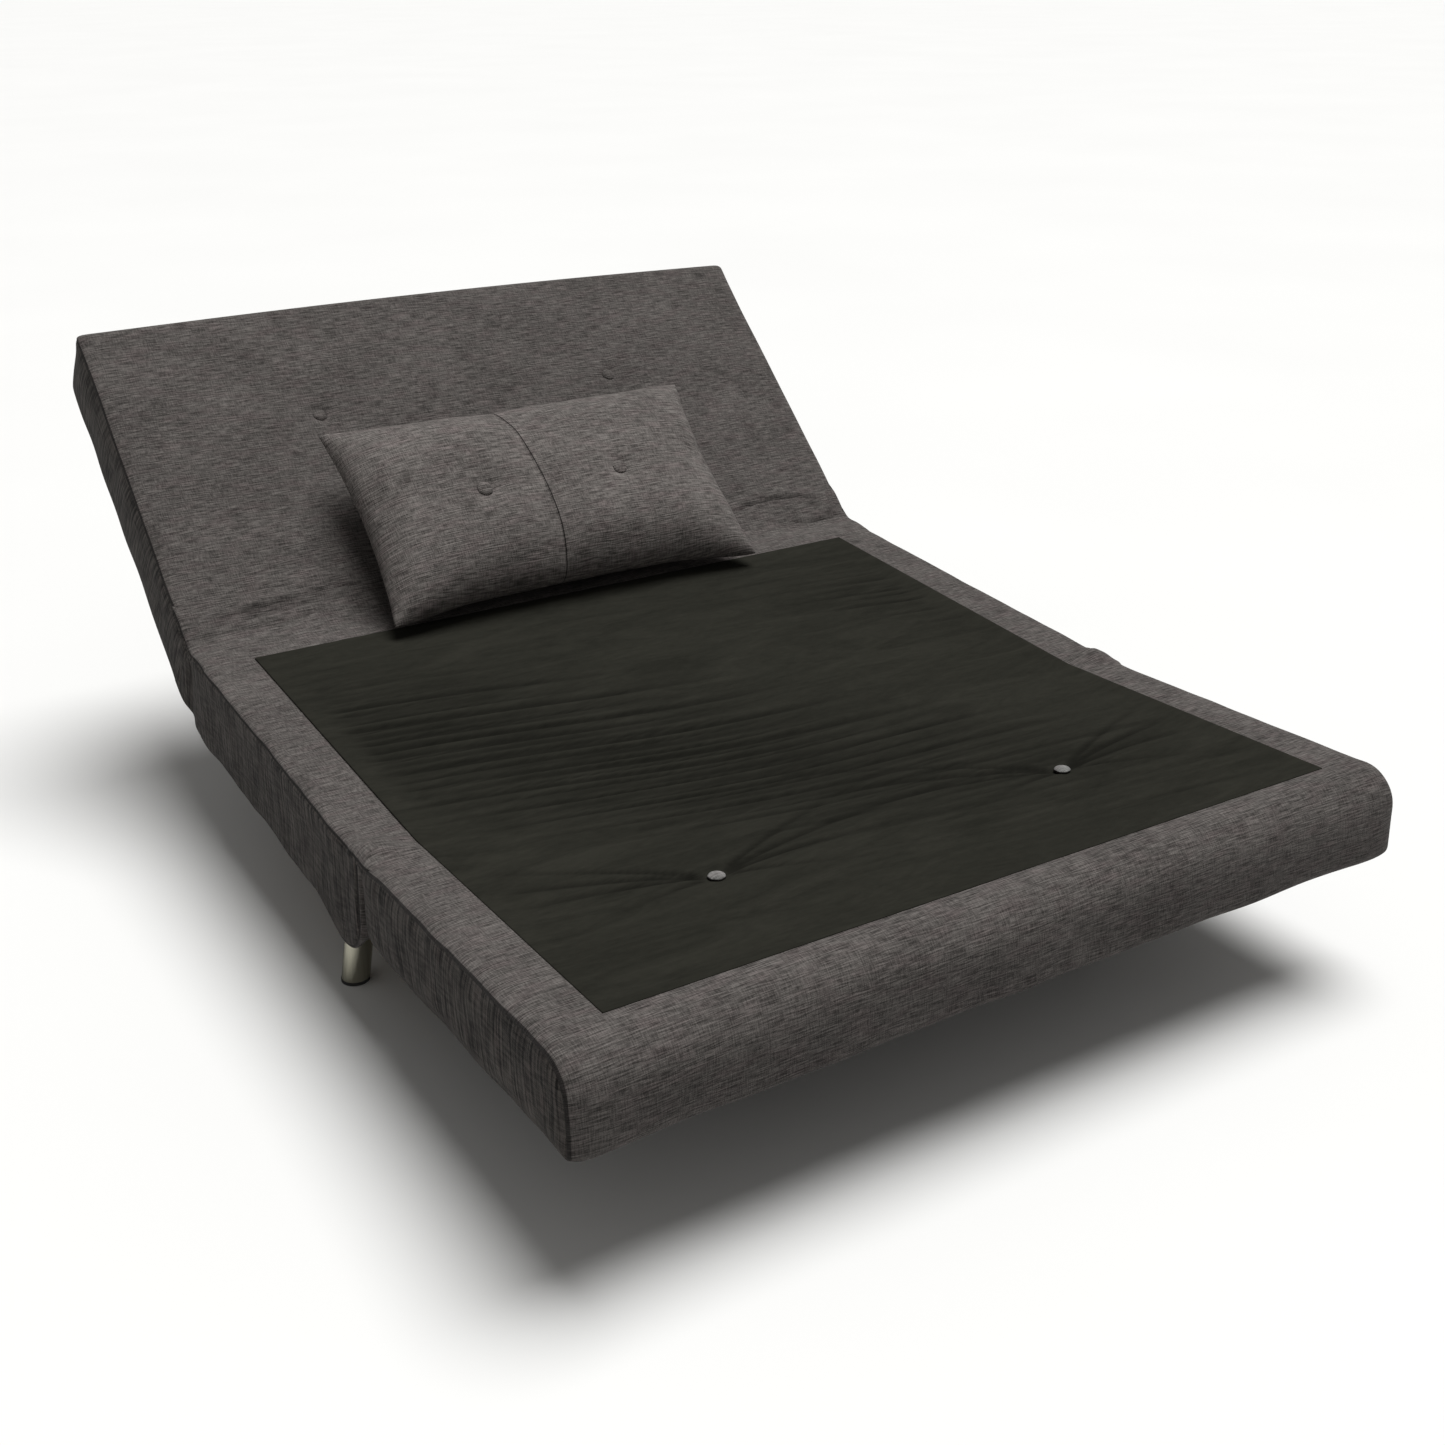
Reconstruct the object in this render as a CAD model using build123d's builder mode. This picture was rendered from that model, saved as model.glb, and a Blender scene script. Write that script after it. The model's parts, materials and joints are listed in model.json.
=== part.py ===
"""A tri-fold futon sofa bed: seat, flip-over front section, reclining backrest, pull-out stand and pillow.

Shown as a bed with its back raised. The origin is on the floor under the middle of the outline,
+Y runs from the front section towards the backrest and +Z is up. Millimetres and degrees.
"""

from build123d import *
from math import atan2, cos, degrees, radians, sin, tan
import os

# ---- driving dimensions ------------------------------------------------------------------------
WIDTH = 1200  # between the two side faces
FOLD_HEIGHT = 280  # floor to the upholstery's top surface at the fold line
FRONT_LENGTH = 545  # fold line to the front section's free end
SEAT_LENGTH = 668  # fold line to the recline axis
BACK_LENGTH = 590  # recline axis to the backrest's top edge
FRONT_THICK = 121
SEAT_THICK = 147
BACK_THICK = 146
FRONT_TILT = 2.1  # the front section rises towards its free end
SEAT_TILT = 3.6  # the seat rises towards the backrest
BACK_TILT = 42.0  # the backrest's slope at rest
RECLINE_DEPTH = 15  # recline axis below both upholstery surfaces

# ---- upholstery --------------------------------------------------------------------------------
TOP_GAP = 1.0  # surface below the hinge plane, so that folded faces keep apart
END_GAP = 0.6  # each pad's end from the hinge plane
COVER = 2.0  # cover cloth with its wadding
FOAM_GAP = 0.5  # between foam and cover, and round the lining
LINING = 1.3
BORDER_SIDE = 77  # grey border beside the black lining
BORDER_FRONT = 70
BORDER_BACK = 71
FREE_TOP_R = 55  # big round at the front section's free top edge
FREE_BOTTOM_R = 24
FOLD_TOP_R = 15
FOLD_BOTTOM_R = 32
CREASE_TOP_R = 25
CREASE_BOTTOM_R = 18
BACK_TOP_R = 30
BUTTON_R = 13
BUTTON_H = 7
DIMPLE_R = 20
DIMPLE_DEPTH = 14
BUTTON_SET = 0.5  # button's base above the dimple's floor
HOLLOW_START = 11  # hollow for the frame in the foams: its clearance from the fold line
HOLLOW_END = 13  # and from the recline axis
HOLLOW_CLEAR = 6  # hollow's clearance under the frame

# ---- steel frames ------------------------------------------------------------------------------
WALL = 2.0
RAIL_OUTER = 570  # outer face of every side rail, from the middle
RAIL_WIDE = 30
SEAT_RAIL_TALL = 60
TUBE = 25
FRAME_TOP = -84  # top of the seat's frame, in the seat's own frame of reference
FRONT_FRAME_TOP = -40
BACK_FRAME_TOP = -118
SLAT_THICK = 8
SLAT_GAP = 0.5  # between the rails and the slats
SLAT_WIDE = 55
SEAT_SLAT_ROWS = [75 + 104 * row for row in range(6)]
FRONT_SLAT_ROWS = [-75 - 90 * row for row in range(5)]
SEAT_CROSS_ROWS = (48, 334)  # the seat's front and middle cross tubes
FRONT_CROSS_ROWS = (-484, -257, -30)
BACK_CROSS_ROWS = (58, 285, 542)
WEBBING_ROWS = (115, 195, 375, 455)
WEBBING_WIDE = 50
WEBBING_THICK = 2.5
FRONT_FOAM_SPLIT = -30  # height of the joint between the front section's two foams
CHANNEL_HALF = 450  # open channel under the seat, where the stand slides
CHANNEL_TOP = -112
UNDERSIDE_HALF = 505
FIT = 0.3  # gap between bolted or butted faces
OVER = 1  # how far a cut runs past the faces that it goes through

# ---- hinges ------------------------------------------------------------------------------------
PLATE = 4.0
PLATE_GAP = 0.5
FOLD_PIN_R = 3.0
FOLD_EYE_R = 7.0
RECLINE_PIN_R = 5.0
RECLINE_EYE_R = 11.0
PIN_HEAD = 2.5
WASHER = 3.2  # washer on the inner side of a pin
RUNNING = 0.05  # radial clearance of a pin in its eye
SECTOR_R = 40  # toothed sector of the recline hinge
SECTOR_START = -100  # degrees, in the seat's side view
SECTOR_SWEEP = 122
TOOTH_COUNT = 8
TOOTH_STEP = 11  # degrees
TOOTH_MIDDLE = -21
TOOTH_R = 3.2
PAWL = (19, 9)  # length and width of the recline pawl
SLOT_INNER = 566  # slot for a side hinge, from the middle
SLOT_OUTER = 586
SLOT_ROOF = -12  # top of the slots at the recline hinge
SEAT_FOLD_SLOT = 102  # lengths of the foams' slots
FRONT_FOLD_SLOT = 92
SEAT_RECLINE_SLOT = 100
BACK_RECLINE_SLOT = 130
COVER_SLOT = 22  # length of the covers' slots
SLOT_FLOOR = 30  # covers' slots stop this far above the underside
SECTOR_CLEAR = 8  # pocket round the toothed sector
PLATE_END_R = 12  # round end of a hinge plate at a bolt
SPACER_R = 10
BOLT_R = 4.0
BOLT_HEAD_R = 7.0
BOLT_HEAD = 3.5
BOLT_CLEAR = 0.3
BOLT_REACH = 18  # bolt's length past the plate

# ---- legs and stand ----------------------------------------------------------------------------
LEG_R = 19
LEG_SPLAY = 9.6  # outward lean of each leg
FRONT_LEG_X = 558  # centre of the foot
FRONT_LEG_Y = 176  # behind the fold line
REAR_LEG_X = 415
REAR_LEG_Y = 600
GLIDE = 5
GLIDE_PLUG = 18  # length of the glide's plug inside the tube
LEG_SINK = 40  # tube's start below the foot, before it is cut level
FRONT_PLATE_SIZE = (58, 120)
REAR_PLATE_SIZE = (120, 50)
REAR_PLATE_SHIFT = 30  # rear plate's middle, inboard of the foot
GUIDE = 32  # outer guide tube of the stand
STAND_TUBE = 26
STAND_X = 300
STAND_Y = -300  # stand's front bar, from the fold line
STAND_TAIL = 180
STAND_TOP = -128  # top of the stand's tubes below the fold line
GUIDE_START = 45  # ends of the guide tubes, behind the fold line
GUIDE_END = 580
PAD_THICK = 5
BRACKET = (28, 20)  # width and length of a block that holds a guide tube

# ---- pillow ------------------------------------------------------------------------------------
PILLOW_WIDTH = 655
PILLOW_HEIGHT = 352
PILLOW_THICK = 142
PILLOW_EDGE = 16
PILLOW_X = 2
PILLOW_ALONG = -62.5  # lower edge along the backrest, from the crease
PILLOW_OFF = 86  # middle plane in front of the backrest

# ---- places worked out from the above ----------------------------------------------------------
front_reach = (
    (FRONT_LENGTH - FREE_BOTTOM_R) * cos(radians(FRONT_TILT))
    + (FRONT_THICK - FREE_BOTTOM_R) * sin(radians(FRONT_TILT))
    + FREE_BOTTOM_R
)
recline_y = SEAT_LENGTH * cos(radians(SEAT_TILT)) + RECLINE_DEPTH * sin(radians(SEAT_TILT))
recline_z = SEAT_LENGTH * sin(radians(SEAT_TILT)) - RECLINE_DEPTH * cos(radians(SEAT_TILT))
rear_reach = (
    recline_y
    + (BACK_LENGTH - BACK_TOP_R) * cos(radians(BACK_TILT))
    + (BACK_THICK - RECLINE_DEPTH - BACK_TOP_R) * sin(radians(BACK_TILT))
    + BACK_TOP_R
)
FOLD_Y = (front_reach - rear_reach) / 2
fold_point = Vector(0, FOLD_Y, FOLD_HEIGHT)
recline_point = fold_point + Vector(0, recline_y, recline_z)


def tilted(origin, lean):
    """A plane along X whose Y direction climbs by lean degrees."""
    return Plane(origin=origin, x_dir=(1, 0, 0), z_dir=(0, -sin(radians(lean)), cos(radians(lean))))


front_plane = tilted(fold_point, -FRONT_TILT)
seat_plane = tilted(fold_point, SEAT_TILT)
back_plane = tilted(recline_point, BACK_TILT).offset(RECLINE_DEPTH)
level_plane = tilted(fold_point, 0)
crease_shift = RECLINE_DEPTH * tan(radians(BACK_TILT - SEAT_TILT) / 2)
pillow_plane = back_plane.offset(PILLOW_OFF)
SIDES = {"left": -1, "right": 1}
os.makedirs("parts", exist_ok=True)


# ---- helpers -----------------------------------------------------------------------------------
def save(part, name):
    """Labels a finished piece and writes it."""
    part.label = name
    export_step(part, f"parts/{name}.step")


def side_view(section):
    """The section's side view: across is its length, up is its thickness."""
    return Plane(origin=section.origin, x_dir=section.y_dir, z_dir=section.x_dir)


def slab(section, across, along, up, mode=Mode.ADD):
    """A straight block between two values on each of the section's axes."""
    with BuildSketch(section.offset(up[0])) as outline:
        with Locations(((across[0] + across[1]) / 2, (along[0] + along[1]) / 2)):
            Rectangle(across[1] - across[0], along[1] - along[0])
    extrude(outline.sketch, amount=up[1] - up[0], mode=mode)


def tube_along(section, x, along, top, wide, tall):
    """A square tube, open at its ends, that runs along the section."""
    half = wide / 2
    slab(section, (x - half, x + half), along, (top - tall, top))
    inside = (top - tall + WALL, top - WALL)
    slab(section, (x - half + WALL, x + half - WALL), along, inside, Mode.SUBTRACT)


def tube_across(section, y, half_length, top, size):
    """A square tube, open at its ends, that runs across the section."""
    across = (-half_length, half_length)
    half = size / 2
    slab(section, across, (y - half, y + half), (top - size, top))
    inside = (top - size + WALL, top - WALL)
    slab(section, across, (y - half + WALL, y + half - WALL), inside, Mode.SUBTRACT)


def pad(section, span, thick, radii, inset, mode=Mode.ADD):
    """An upholstery block. radii run from the start's bottom round to the start's top."""
    lo, hi = span[0] + inset, span[1] - inset
    bottom, top = -thick + inset, -TOP_GAP - inset
    corners = [(lo, bottom), (hi, bottom), (hi, top), (lo, top)]
    rounds = [r - inset for r in radii]
    with BuildSketch(side_view(section)) as profile:
        with BuildLine():
            FilletPolyline(*corners, radius=rounds, close=True)
        make_face()
    extrude(profile.sketch, amount=WIDTH / 2 - inset, both=True, mode=mode)


def side_disc(section, y, z, radius, x_from, x_to, mode=Mode.ADD):
    """A round disc or pin across the section, between two values of X."""
    with BuildSketch(side_view(section).offset(min(x_from, x_to))) as circle:
        with Locations((y, z)):
            Circle(radius)
    extrude(circle.sketch, amount=abs(x_to - x_from), mode=mode)


def round_post(section, spots, radius, up, mode=Mode.ADD):
    """Round posts that stand on the section's plane."""
    with BuildSketch(section.offset(up[0])) as circles:
        with Locations(*spots):
            Circle(radius)
    extrude(circles.sketch, amount=up[1] - up[0], mode=mode)


def hinge_slots(section, along, up):
    """Clears the slots that the side hinges need in a soft piece."""
    for side in SIDES.values():
        across = sorted((side * SLOT_INNER, side * SLOT_OUTER))
        slab(section, across, along, up, Mode.SUBTRACT)


def disc_slots(section, y, z, radius):
    """Clears a round pocket about a hinge axis at both sides."""
    for side in SIDES.values():
        side_disc(section, y, z, radius, side * SLOT_INNER, side * SLOT_OUTER, Mode.SUBTRACT)


def mirrored(side, x_from, x_to):
    """The same stretch of X on the left or the right side."""
    return tuple(sorted((side * x_from, side * x_to)))


# ---- upholstery outlines -----------------------------------------------------------------------
FRONT_SPAN = (-FRONT_LENGTH, -END_GAP)
FRONT_ROUNDS = (FREE_BOTTOM_R, FOLD_BOTTOM_R, FOLD_TOP_R, FREE_TOP_R)
SEAT_SPAN = (END_GAP, SEAT_LENGTH - END_GAP)
SEAT_ROUNDS = (FOLD_BOTTOM_R, CREASE_BOTTOM_R, CREASE_TOP_R, FOLD_TOP_R)
BACK_SPAN = (END_GAP, BACK_LENGTH)
BACK_ROUNDS = (CREASE_BOTTOM_R, BACK_TOP_R, BACK_TOP_R, CREASE_TOP_R)
FOAM = COVER + FOAM_GAP

FRONT_BUTTONS = [(-265, -273), (265, -273)]
BACK_BUTTONS = [(-267, 381), (267, 381)]
PILLOW_BUTTONS = [(PILLOW_X - 114, PILLOW_ALONG + 175), (PILLOW_X + 114, PILLOW_ALONG + 175)]
LINING_HALF = WIDTH / 2 - BORDER_SIDE
BETWEEN_RAILS = (-RAIL_OUTER - OVER, RAIL_OUTER + OVER)

# hinge plates: where each is bolted, in its own section's side view
SEAT_FOLD_BOLTS = [(50, -115), (85, -115)]
FRONT_FOLD_BOLTS = [(-35, -52), (-70, -52)]
SEAT_RECLINE_BOLTS = [(SEAT_LENGTH - 75, -115), (SEAT_LENGTH - 40, -115)]
BACK_RECLINE_BOLTS = [(65, -130), (105, -130)]
SEAT_HINGE_BOLTS = SEAT_FOLD_BOLTS + SEAT_RECLINE_BOLTS
LEG_BOLT_X = RAIL_OUTER - RAIL_WIDE / 2
LEG_BOLT_REACH = 45
REAR_BEAM_Y = SEAT_LENGTH - 68
FRONT_PLATE_TOP = -SEAT_THICK - FIT
REAR_PLATE_TOP = FRAME_TOP - TUBE - FIT


# ---- seat: frame -------------------------------------------------------------------------------
def front_leg_bolts():
    """Bolt places of the two front legs, in the seat's plane."""
    ys = (FRONT_LEG_Y - LEG_BOLT_REACH, FRONT_LEG_Y + LEG_BOLT_REACH)
    return [(side * LEG_BOLT_X, y) for side in SIDES.values() for y in ys]


def rear_leg_bolts():
    """Bolt places of the two rear legs, in the seat's plane."""
    middle = REAR_LEG_X - REAR_PLATE_SHIFT
    xs = (middle - LEG_BOLT_REACH, middle + LEG_BOLT_REACH)
    return [(side * x, REAR_BEAM_Y) for side in SIDES.values() for x in xs]


def bolt_holes_sideways(section, places, side, x_from, x_to):
    """Clearance holes for bolts that go in from the side."""
    for y, z in places:
        side_disc(section, y, z, BOLT_R + BOLT_CLEAR, side * x_from, side * x_to, Mode.SUBTRACT)


def side_rail(name, section, side, along, top, tall, places):
    """A side rail with the holes of the bolts that hold its hinge plates."""
    with BuildPart() as rail:
        tube_along(section, side * (RAIL_OUTER - RAIL_WIDE / 2), along, top, RAIL_WIDE, tall)
        bolt_holes_sideways(section, places, side, RAIL_OUTER - WALL - OVER, RAIL_OUTER + OVER)
        if section == seat_plane:
            bottom = top - tall
            under = (bottom - OVER, bottom + WALL + OVER)
            round_post(section, front_leg_bolts(), BOLT_R + BOLT_CLEAR, under, Mode.SUBTRACT)
    save(rail.part, name)


def cross_tubes(name, section, rows, top):
    """Cross tubes between the side rails."""
    with BuildPart() as tubes:
        for y in rows:
            tube_across(section, y, RAIL_OUTER - RAIL_WIDE - FIT, top, TUBE)
        if section == seat_plane:
            under = (top - TUBE - OVER, top - TUBE + WALL + OVER)
            round_post(section, rear_leg_bolts(), BOLT_R + BOLT_CLEAR, under, Mode.SUBTRACT)
    save(tubes.part, name)


def slats(name, section, rows, top):
    """Sprung wooden slats that lie across the rails."""
    with BuildPart() as boards:
        for y in rows:
            half = SLAT_WIDE / 2
            across = (-RAIL_OUTER + 4, RAIL_OUTER - 4)
            slab(section, across, (y - half, y + half), (top - SLAT_THICK, top))
        fillet(boards.edges().filter_by(Axis.X), 2)
    save(boards.part, name)


# ---- seat: upholstery --------------------------------------------------------------------------
def stand_channel():
    """Clears the open channel under the seat, where the stand slides."""
    across = (-CHANNEL_HALF, CHANNEL_HALF)
    along = (-OVER, SEAT_LENGTH + OVER)
    slab(seat_plane, across, along, (-SEAT_THICK - OVER, CHANNEL_TOP), Mode.SUBTRACT)


def seat_foam():
    with BuildPart() as foam:
        pad(seat_plane, SEAT_SPAN, SEAT_THICK, SEAT_ROUNDS, FOAM)
        hollow = (HOLLOW_START, SEAT_LENGTH - HOLLOW_END)
        depth = (-SEAT_THICK - OVER, FRAME_TOP + SLAT_THICK + SLAT_GAP + FOAM_GAP)
        slab(seat_plane, BETWEEN_RAILS, hollow, depth, Mode.SUBTRACT)
        stand_channel()
        hinge_slots(seat_plane, (-OVER, SEAT_FOLD_SLOT), (-SEAT_THICK, 0))
        rear_slot = (SEAT_LENGTH - SEAT_RECLINE_SLOT, SEAT_LENGTH + OVER)
        hinge_slots(seat_plane, rear_slot, (-SEAT_THICK, SLOT_ROOF))
        disc_slots(seat_plane, SEAT_LENGTH, -RECLINE_DEPTH, SECTOR_R + SECTOR_CLEAR)
    save(foam.part, "seat_foam")


def seat_cover():
    with BuildPart() as cover:
        pad(seat_plane, SEAT_SPAN, SEAT_THICK, SEAT_ROUNDS, 0)
        pad(seat_plane, SEAT_SPAN, SEAT_THICK, SEAT_ROUNDS, COVER, Mode.SUBTRACT)
        window = (-LINING_HALF, LINING_HALF)
        lined = (-OVER, SEAT_LENGTH - crease_shift - BORDER_BACK)
        slab(seat_plane, window, lined, (-FOLD_TOP_R, OVER), Mode.SUBTRACT)
        across = (-UNDERSIDE_HALF, UNDERSIDE_HALF)
        along = (HOLLOW_START + OVER, SEAT_LENGTH - HOLLOW_END - OVER)
        slab(seat_plane, across, along, (-SEAT_THICK - OVER, -SEAT_THICK + COVER + OVER), Mode.SUBTRACT)
        stand_channel()
        hinge_slots(seat_plane, (-OVER, COVER_SLOT), (-SEAT_THICK + SLOT_FLOOR, 0))
        disc_slots(seat_plane, SEAT_LENGTH, -RECLINE_DEPTH, SECTOR_R + SECTOR_CLEAR)
        below = (-SEAT_THICK - OVER, -SEAT_THICK + COVER + OVER)
        round_post(seat_plane, front_leg_bolts(), BOLT_R + 1, below, Mode.SUBTRACT)
    save(cover.part, "seat_cover")


def lining(name, section, along, buttons):
    """The black lining panel, flush in the cover's window."""
    top = -TOP_GAP - 0.2
    with BuildPart() as cloth:
        half = LINING_HALF - FOAM_GAP
        slab(section, (-half, half), along, (top - LINING, top))
        if buttons:
            round_post(section, buttons, DIMPLE_R, (top - LINING - OVER, top + OVER), Mode.SUBTRACT)
    save(cloth.part, name)


def buttons(name, section, spots, base):
    """Cloth-covered tufting buttons, domed on their outer side."""
    with BuildPart() as knobs:
        round_post(section, spots, BUTTON_R, (base, base + BUTTON_H))
        top_edges = knobs.edges().filter_by(GeomType.CIRCLE)
        fillet(top_edges, BUTTON_H / 2 - 0.4)
    save(knobs.part, name)


# ---- legs --------------------------------------------------------------------------------------
def leg(name, side, foot_x, foot_y, plate_x, plate_y, plate_size, plate_top, bolts):
    """A splayed tube welded under a bolting plate, with its foot cut level with the floor."""
    foot = Vector(side * foot_x, FOLD_Y + foot_y, 0)
    lean = Vector(-side * sin(radians(LEG_SPLAY)), 0, cos(radians(LEG_SPLAY)))
    low = Plane(origin=foot - lean * LEG_SINK, x_dir=(0, 1, 0), z_dir=lean)
    with BuildPart() as tube:
        with BuildSketch(low):
            Circle(LEG_R)
            Circle(LEG_R - WALL, mode=Mode.SUBTRACT)
        extrude(amount=FOLD_HEIGHT)
        split(bisect_by=seat_plane.offset(plate_top - PLATE), keep=Keep.BOTTOM)
        split(bisect_by=Plane.XY.offset(GLIDE), keep=Keep.TOP)
        across = mirrored(side, plate_x - plate_size[0] / 2, plate_x + plate_size[0] / 2)
        along = (plate_y - plate_size[1] / 2, plate_y + plate_size[1] / 2)
        slab(seat_plane, across, along, (plate_top - PLATE, plate_top))
        reach = (plate_top - PLATE - OVER, plate_top + OVER)
        round_post(seat_plane, bolts, BOLT_R + BOLT_CLEAR, reach, Mode.SUBTRACT)
    save(tube.part, name)


def leg_glides():
    """Plastic glides in the feet of the four legs: a level sole and a plug inside the tube."""
    with BuildPart() as glides:
        for side in SIDES.values():
            for foot_x, foot_y in ((FRONT_LEG_X, FRONT_LEG_Y), (REAR_LEG_X, REAR_LEG_Y)):
                with BuildSketch(Plane.XY) as sole:
                    with Locations((side * foot_x, FOLD_Y + foot_y)):
                        Circle(LEG_R)
                extrude(sole.sketch, amount=GLIDE - 0.2)
                foot = Vector(side * foot_x, FOLD_Y + foot_y, 0)
                lean = Vector(-side * sin(radians(LEG_SPLAY)), 0, cos(radians(LEG_SPLAY)))
                with BuildSketch(Plane(origin=foot, x_dir=(0, 1, 0), z_dir=lean)) as plug:
                    Circle(LEG_R - WALL - 3)
                extrude(plug.sketch, amount=GLIDE + GLIDE_PLUG)
        split(bisect_by=Plane.XY, keep=Keep.TOP)
    save(glides.part, "leg_glides")


def leg_bolts():
    with BuildPart() as bolts:
        for places, plate_top in ((front_leg_bolts(), FRONT_PLATE_TOP), (rear_leg_bolts(), REAR_PLATE_TOP)):
            under = plate_top - PLATE - 0.2
            round_post(seat_plane, places, BOLT_HEAD_R, (under - BOLT_HEAD, under))
            round_post(seat_plane, places, BOLT_R, (under - 0.1, under + BOLT_REACH))
    save(bolts.part, "leg_bolts")


# ---- hinges ------------------------------------------------------------------------------------
def hinge_plate(section, eye, eye_r, places, x_range):
    """A flat plate that runs from a hinge eye to its bolts."""
    with BuildSketch(side_view(section).offset(x_range[0])) as shape:
        with Locations(eye):
            Circle(eye_r)
        with Locations(*places):
            Circle(PLATE_END_R)
        make_hull()
    extrude(shape.sketch, amount=x_range[1] - x_range[0])


def fold_leaf(name, section, side, places, layer):
    """A fold-hinge leaf. layer 0 lies on the rail and layer 1 lies outside it."""
    start = RAIL_OUTER + PLATE_GAP / 2 + layer * (PLATE + PLATE_GAP)
    flat = mirrored(side, start, start + PLATE)
    with BuildPart() as leaf:
        hinge_plate(section, (0, 0), FOLD_EYE_R, places, flat)
        if layer:
            for y, z in places:
                side_disc(section, y, z, SPACER_R, side * (RAIL_OUTER + PLATE_GAP / 2), side * start)
        bolt_holes_sideways(section, places, side, RAIL_OUTER - OVER, start + PLATE + OVER)
        reach = (side * (RAIL_OUTER - OVER), side * (start + PLATE + OVER))
        side_disc(section, 0, 0, FOLD_PIN_R + RUNNING, *reach, Mode.SUBTRACT)
    save(leaf.part, name)


def recline_bracket(name, side):
    """The seat's half of the recline hinge: a plate with a toothed sector under its eye."""
    start = RAIL_OUTER + PLATE_GAP / 2
    flat = mirrored(side, start, start + PLATE)
    eye = (SEAT_LENGTH, -RECLINE_DEPTH)
    with BuildPart() as bracket:
        hinge_plate(seat_plane, eye, RECLINE_EYE_R, SEAT_RECLINE_BOLTS, flat)
        with BuildSketch(side_view(seat_plane).offset(flat[0])) as sector:
            with BuildLine():
                rim = CenterArc(eye, SECTOR_R, SECTOR_START, SECTOR_SWEEP)
                Line(rim @ 1, eye)
                Line(eye, rim @ 0)
            make_face()
            for step in range(TOOTH_COUNT):
                turn = TOOTH_MIDDLE + (step - (TOOTH_COUNT - 1) / 2) * TOOTH_STEP
                spot = (eye[0] + SECTOR_R * cos(radians(turn)), eye[1] + SECTOR_R * sin(radians(turn)))
                with Locations(Location(spot, turn)):
                    RegularPolygon(TOOTH_R, 3, mode=Mode.SUBTRACT)
        extrude(sector.sketch, amount=PLATE)
        bolt_holes_sideways(seat_plane, SEAT_RECLINE_BOLTS, side, RAIL_OUTER - OVER, start + PLATE + OVER)
        reach = (side * (RAIL_OUTER - OVER), side * (start + PLATE + OVER))
        side_disc(seat_plane, *eye, RECLINE_PIN_R + RUNNING, *reach, Mode.SUBTRACT)
    save(bracket.part, name)


def recline_arm(name, side):
    """The backrest's half of the recline hinge, spaced off the rail and with its pawl."""
    start = RAIL_OUTER + PLATE_GAP / 2 + PLATE + PLATE_GAP
    flat = mirrored(side, start, start + PLATE)
    eye = (0, -RECLINE_DEPTH)
    with BuildPart() as arm:
        hinge_plate(back_plane, eye, RECLINE_EYE_R, BACK_RECLINE_BOLTS, flat)
        for y, z in BACK_RECLINE_BOLTS:
            side_disc(back_plane, y, z, SPACER_R, side * (RAIL_OUTER + PLATE_GAP / 2), side * start)
        bolt_holes_sideways(back_plane, BACK_RECLINE_BOLTS, side, RAIL_OUTER - OVER, start + PLATE + OVER)
        reach = (side * (RAIL_OUTER - OVER), side * (start + PLATE + OVER))
        side_disc(back_plane, *eye, RECLINE_PIN_R + RUNNING, *reach, Mode.SUBTRACT)
    save(arm.part, name)


def recline_pawls():
    """The two pawls: each sits on its arm's inner face, just off the toothed rim."""
    start = RAIL_OUTER + PLATE_GAP / 2
    aim_y, aim_z = BACK_RECLINE_BOLTS[0][0] + 20, BACK_RECLINE_BOLTS[0][1] + RECLINE_DEPTH
    turn = degrees(atan2(aim_z, aim_y))
    reach = SECTOR_R + 1 + PAWL[0] / 2
    spot = (reach * cos(radians(turn)), reach * sin(radians(turn)) - RECLINE_DEPTH)
    with BuildPart() as pawls:
        for side in SIDES.values():
            flat = mirrored(side, start, start + PLATE)
            with BuildSketch(side_view(back_plane).offset(flat[0])) as shape:
                with Locations(Location(spot, turn)):
                    Rectangle(*PAWL)
            extrude(shape.sketch, amount=PLATE)
    save(pawls.part, "recline_pawls")


def hinge_pins(name, section, y, z, radius, head_r):
    """Hinge pins with a head on the outer side and a washer face on the inner side."""
    inner = RAIL_OUTER - FIT - WASHER
    outer = RAIL_OUTER + PLATE_GAP / 2 + 2 * PLATE + PLATE_GAP + FIT
    with BuildPart() as pins:
        for side in SIDES.values():
            side_disc(section, y, z, radius, side * inner, side * (outer + PIN_HEAD))
            side_disc(section, y, z, head_r, side * outer, side * (outer + PIN_HEAD))
            side_disc(section, y, z, head_r, side * inner, side * (RAIL_OUTER - FIT))
    save(pins.part, name)


def side_bolts(name, section, places, face):
    """Hinge bolts, from inside the rail to the outer face that they clamp."""
    under_head = face + 0.2
    with BuildPart() as bolts:
        for side in SIDES.values():
            for y, z in places:
                side_disc(section, y, z, BOLT_R, side * (RAIL_OUTER - BOLT_REACH), side * (under_head + 1))
                side_disc(section, y, z, BOLT_HEAD_R, side * under_head, side * (under_head + BOLT_HEAD))
    save(bolts.part, name)


# ---- front section -----------------------------------------------------------------------------
FRONT_POCKET = (-FRONT_LENGTH + 40, -HOLLOW_START)


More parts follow.
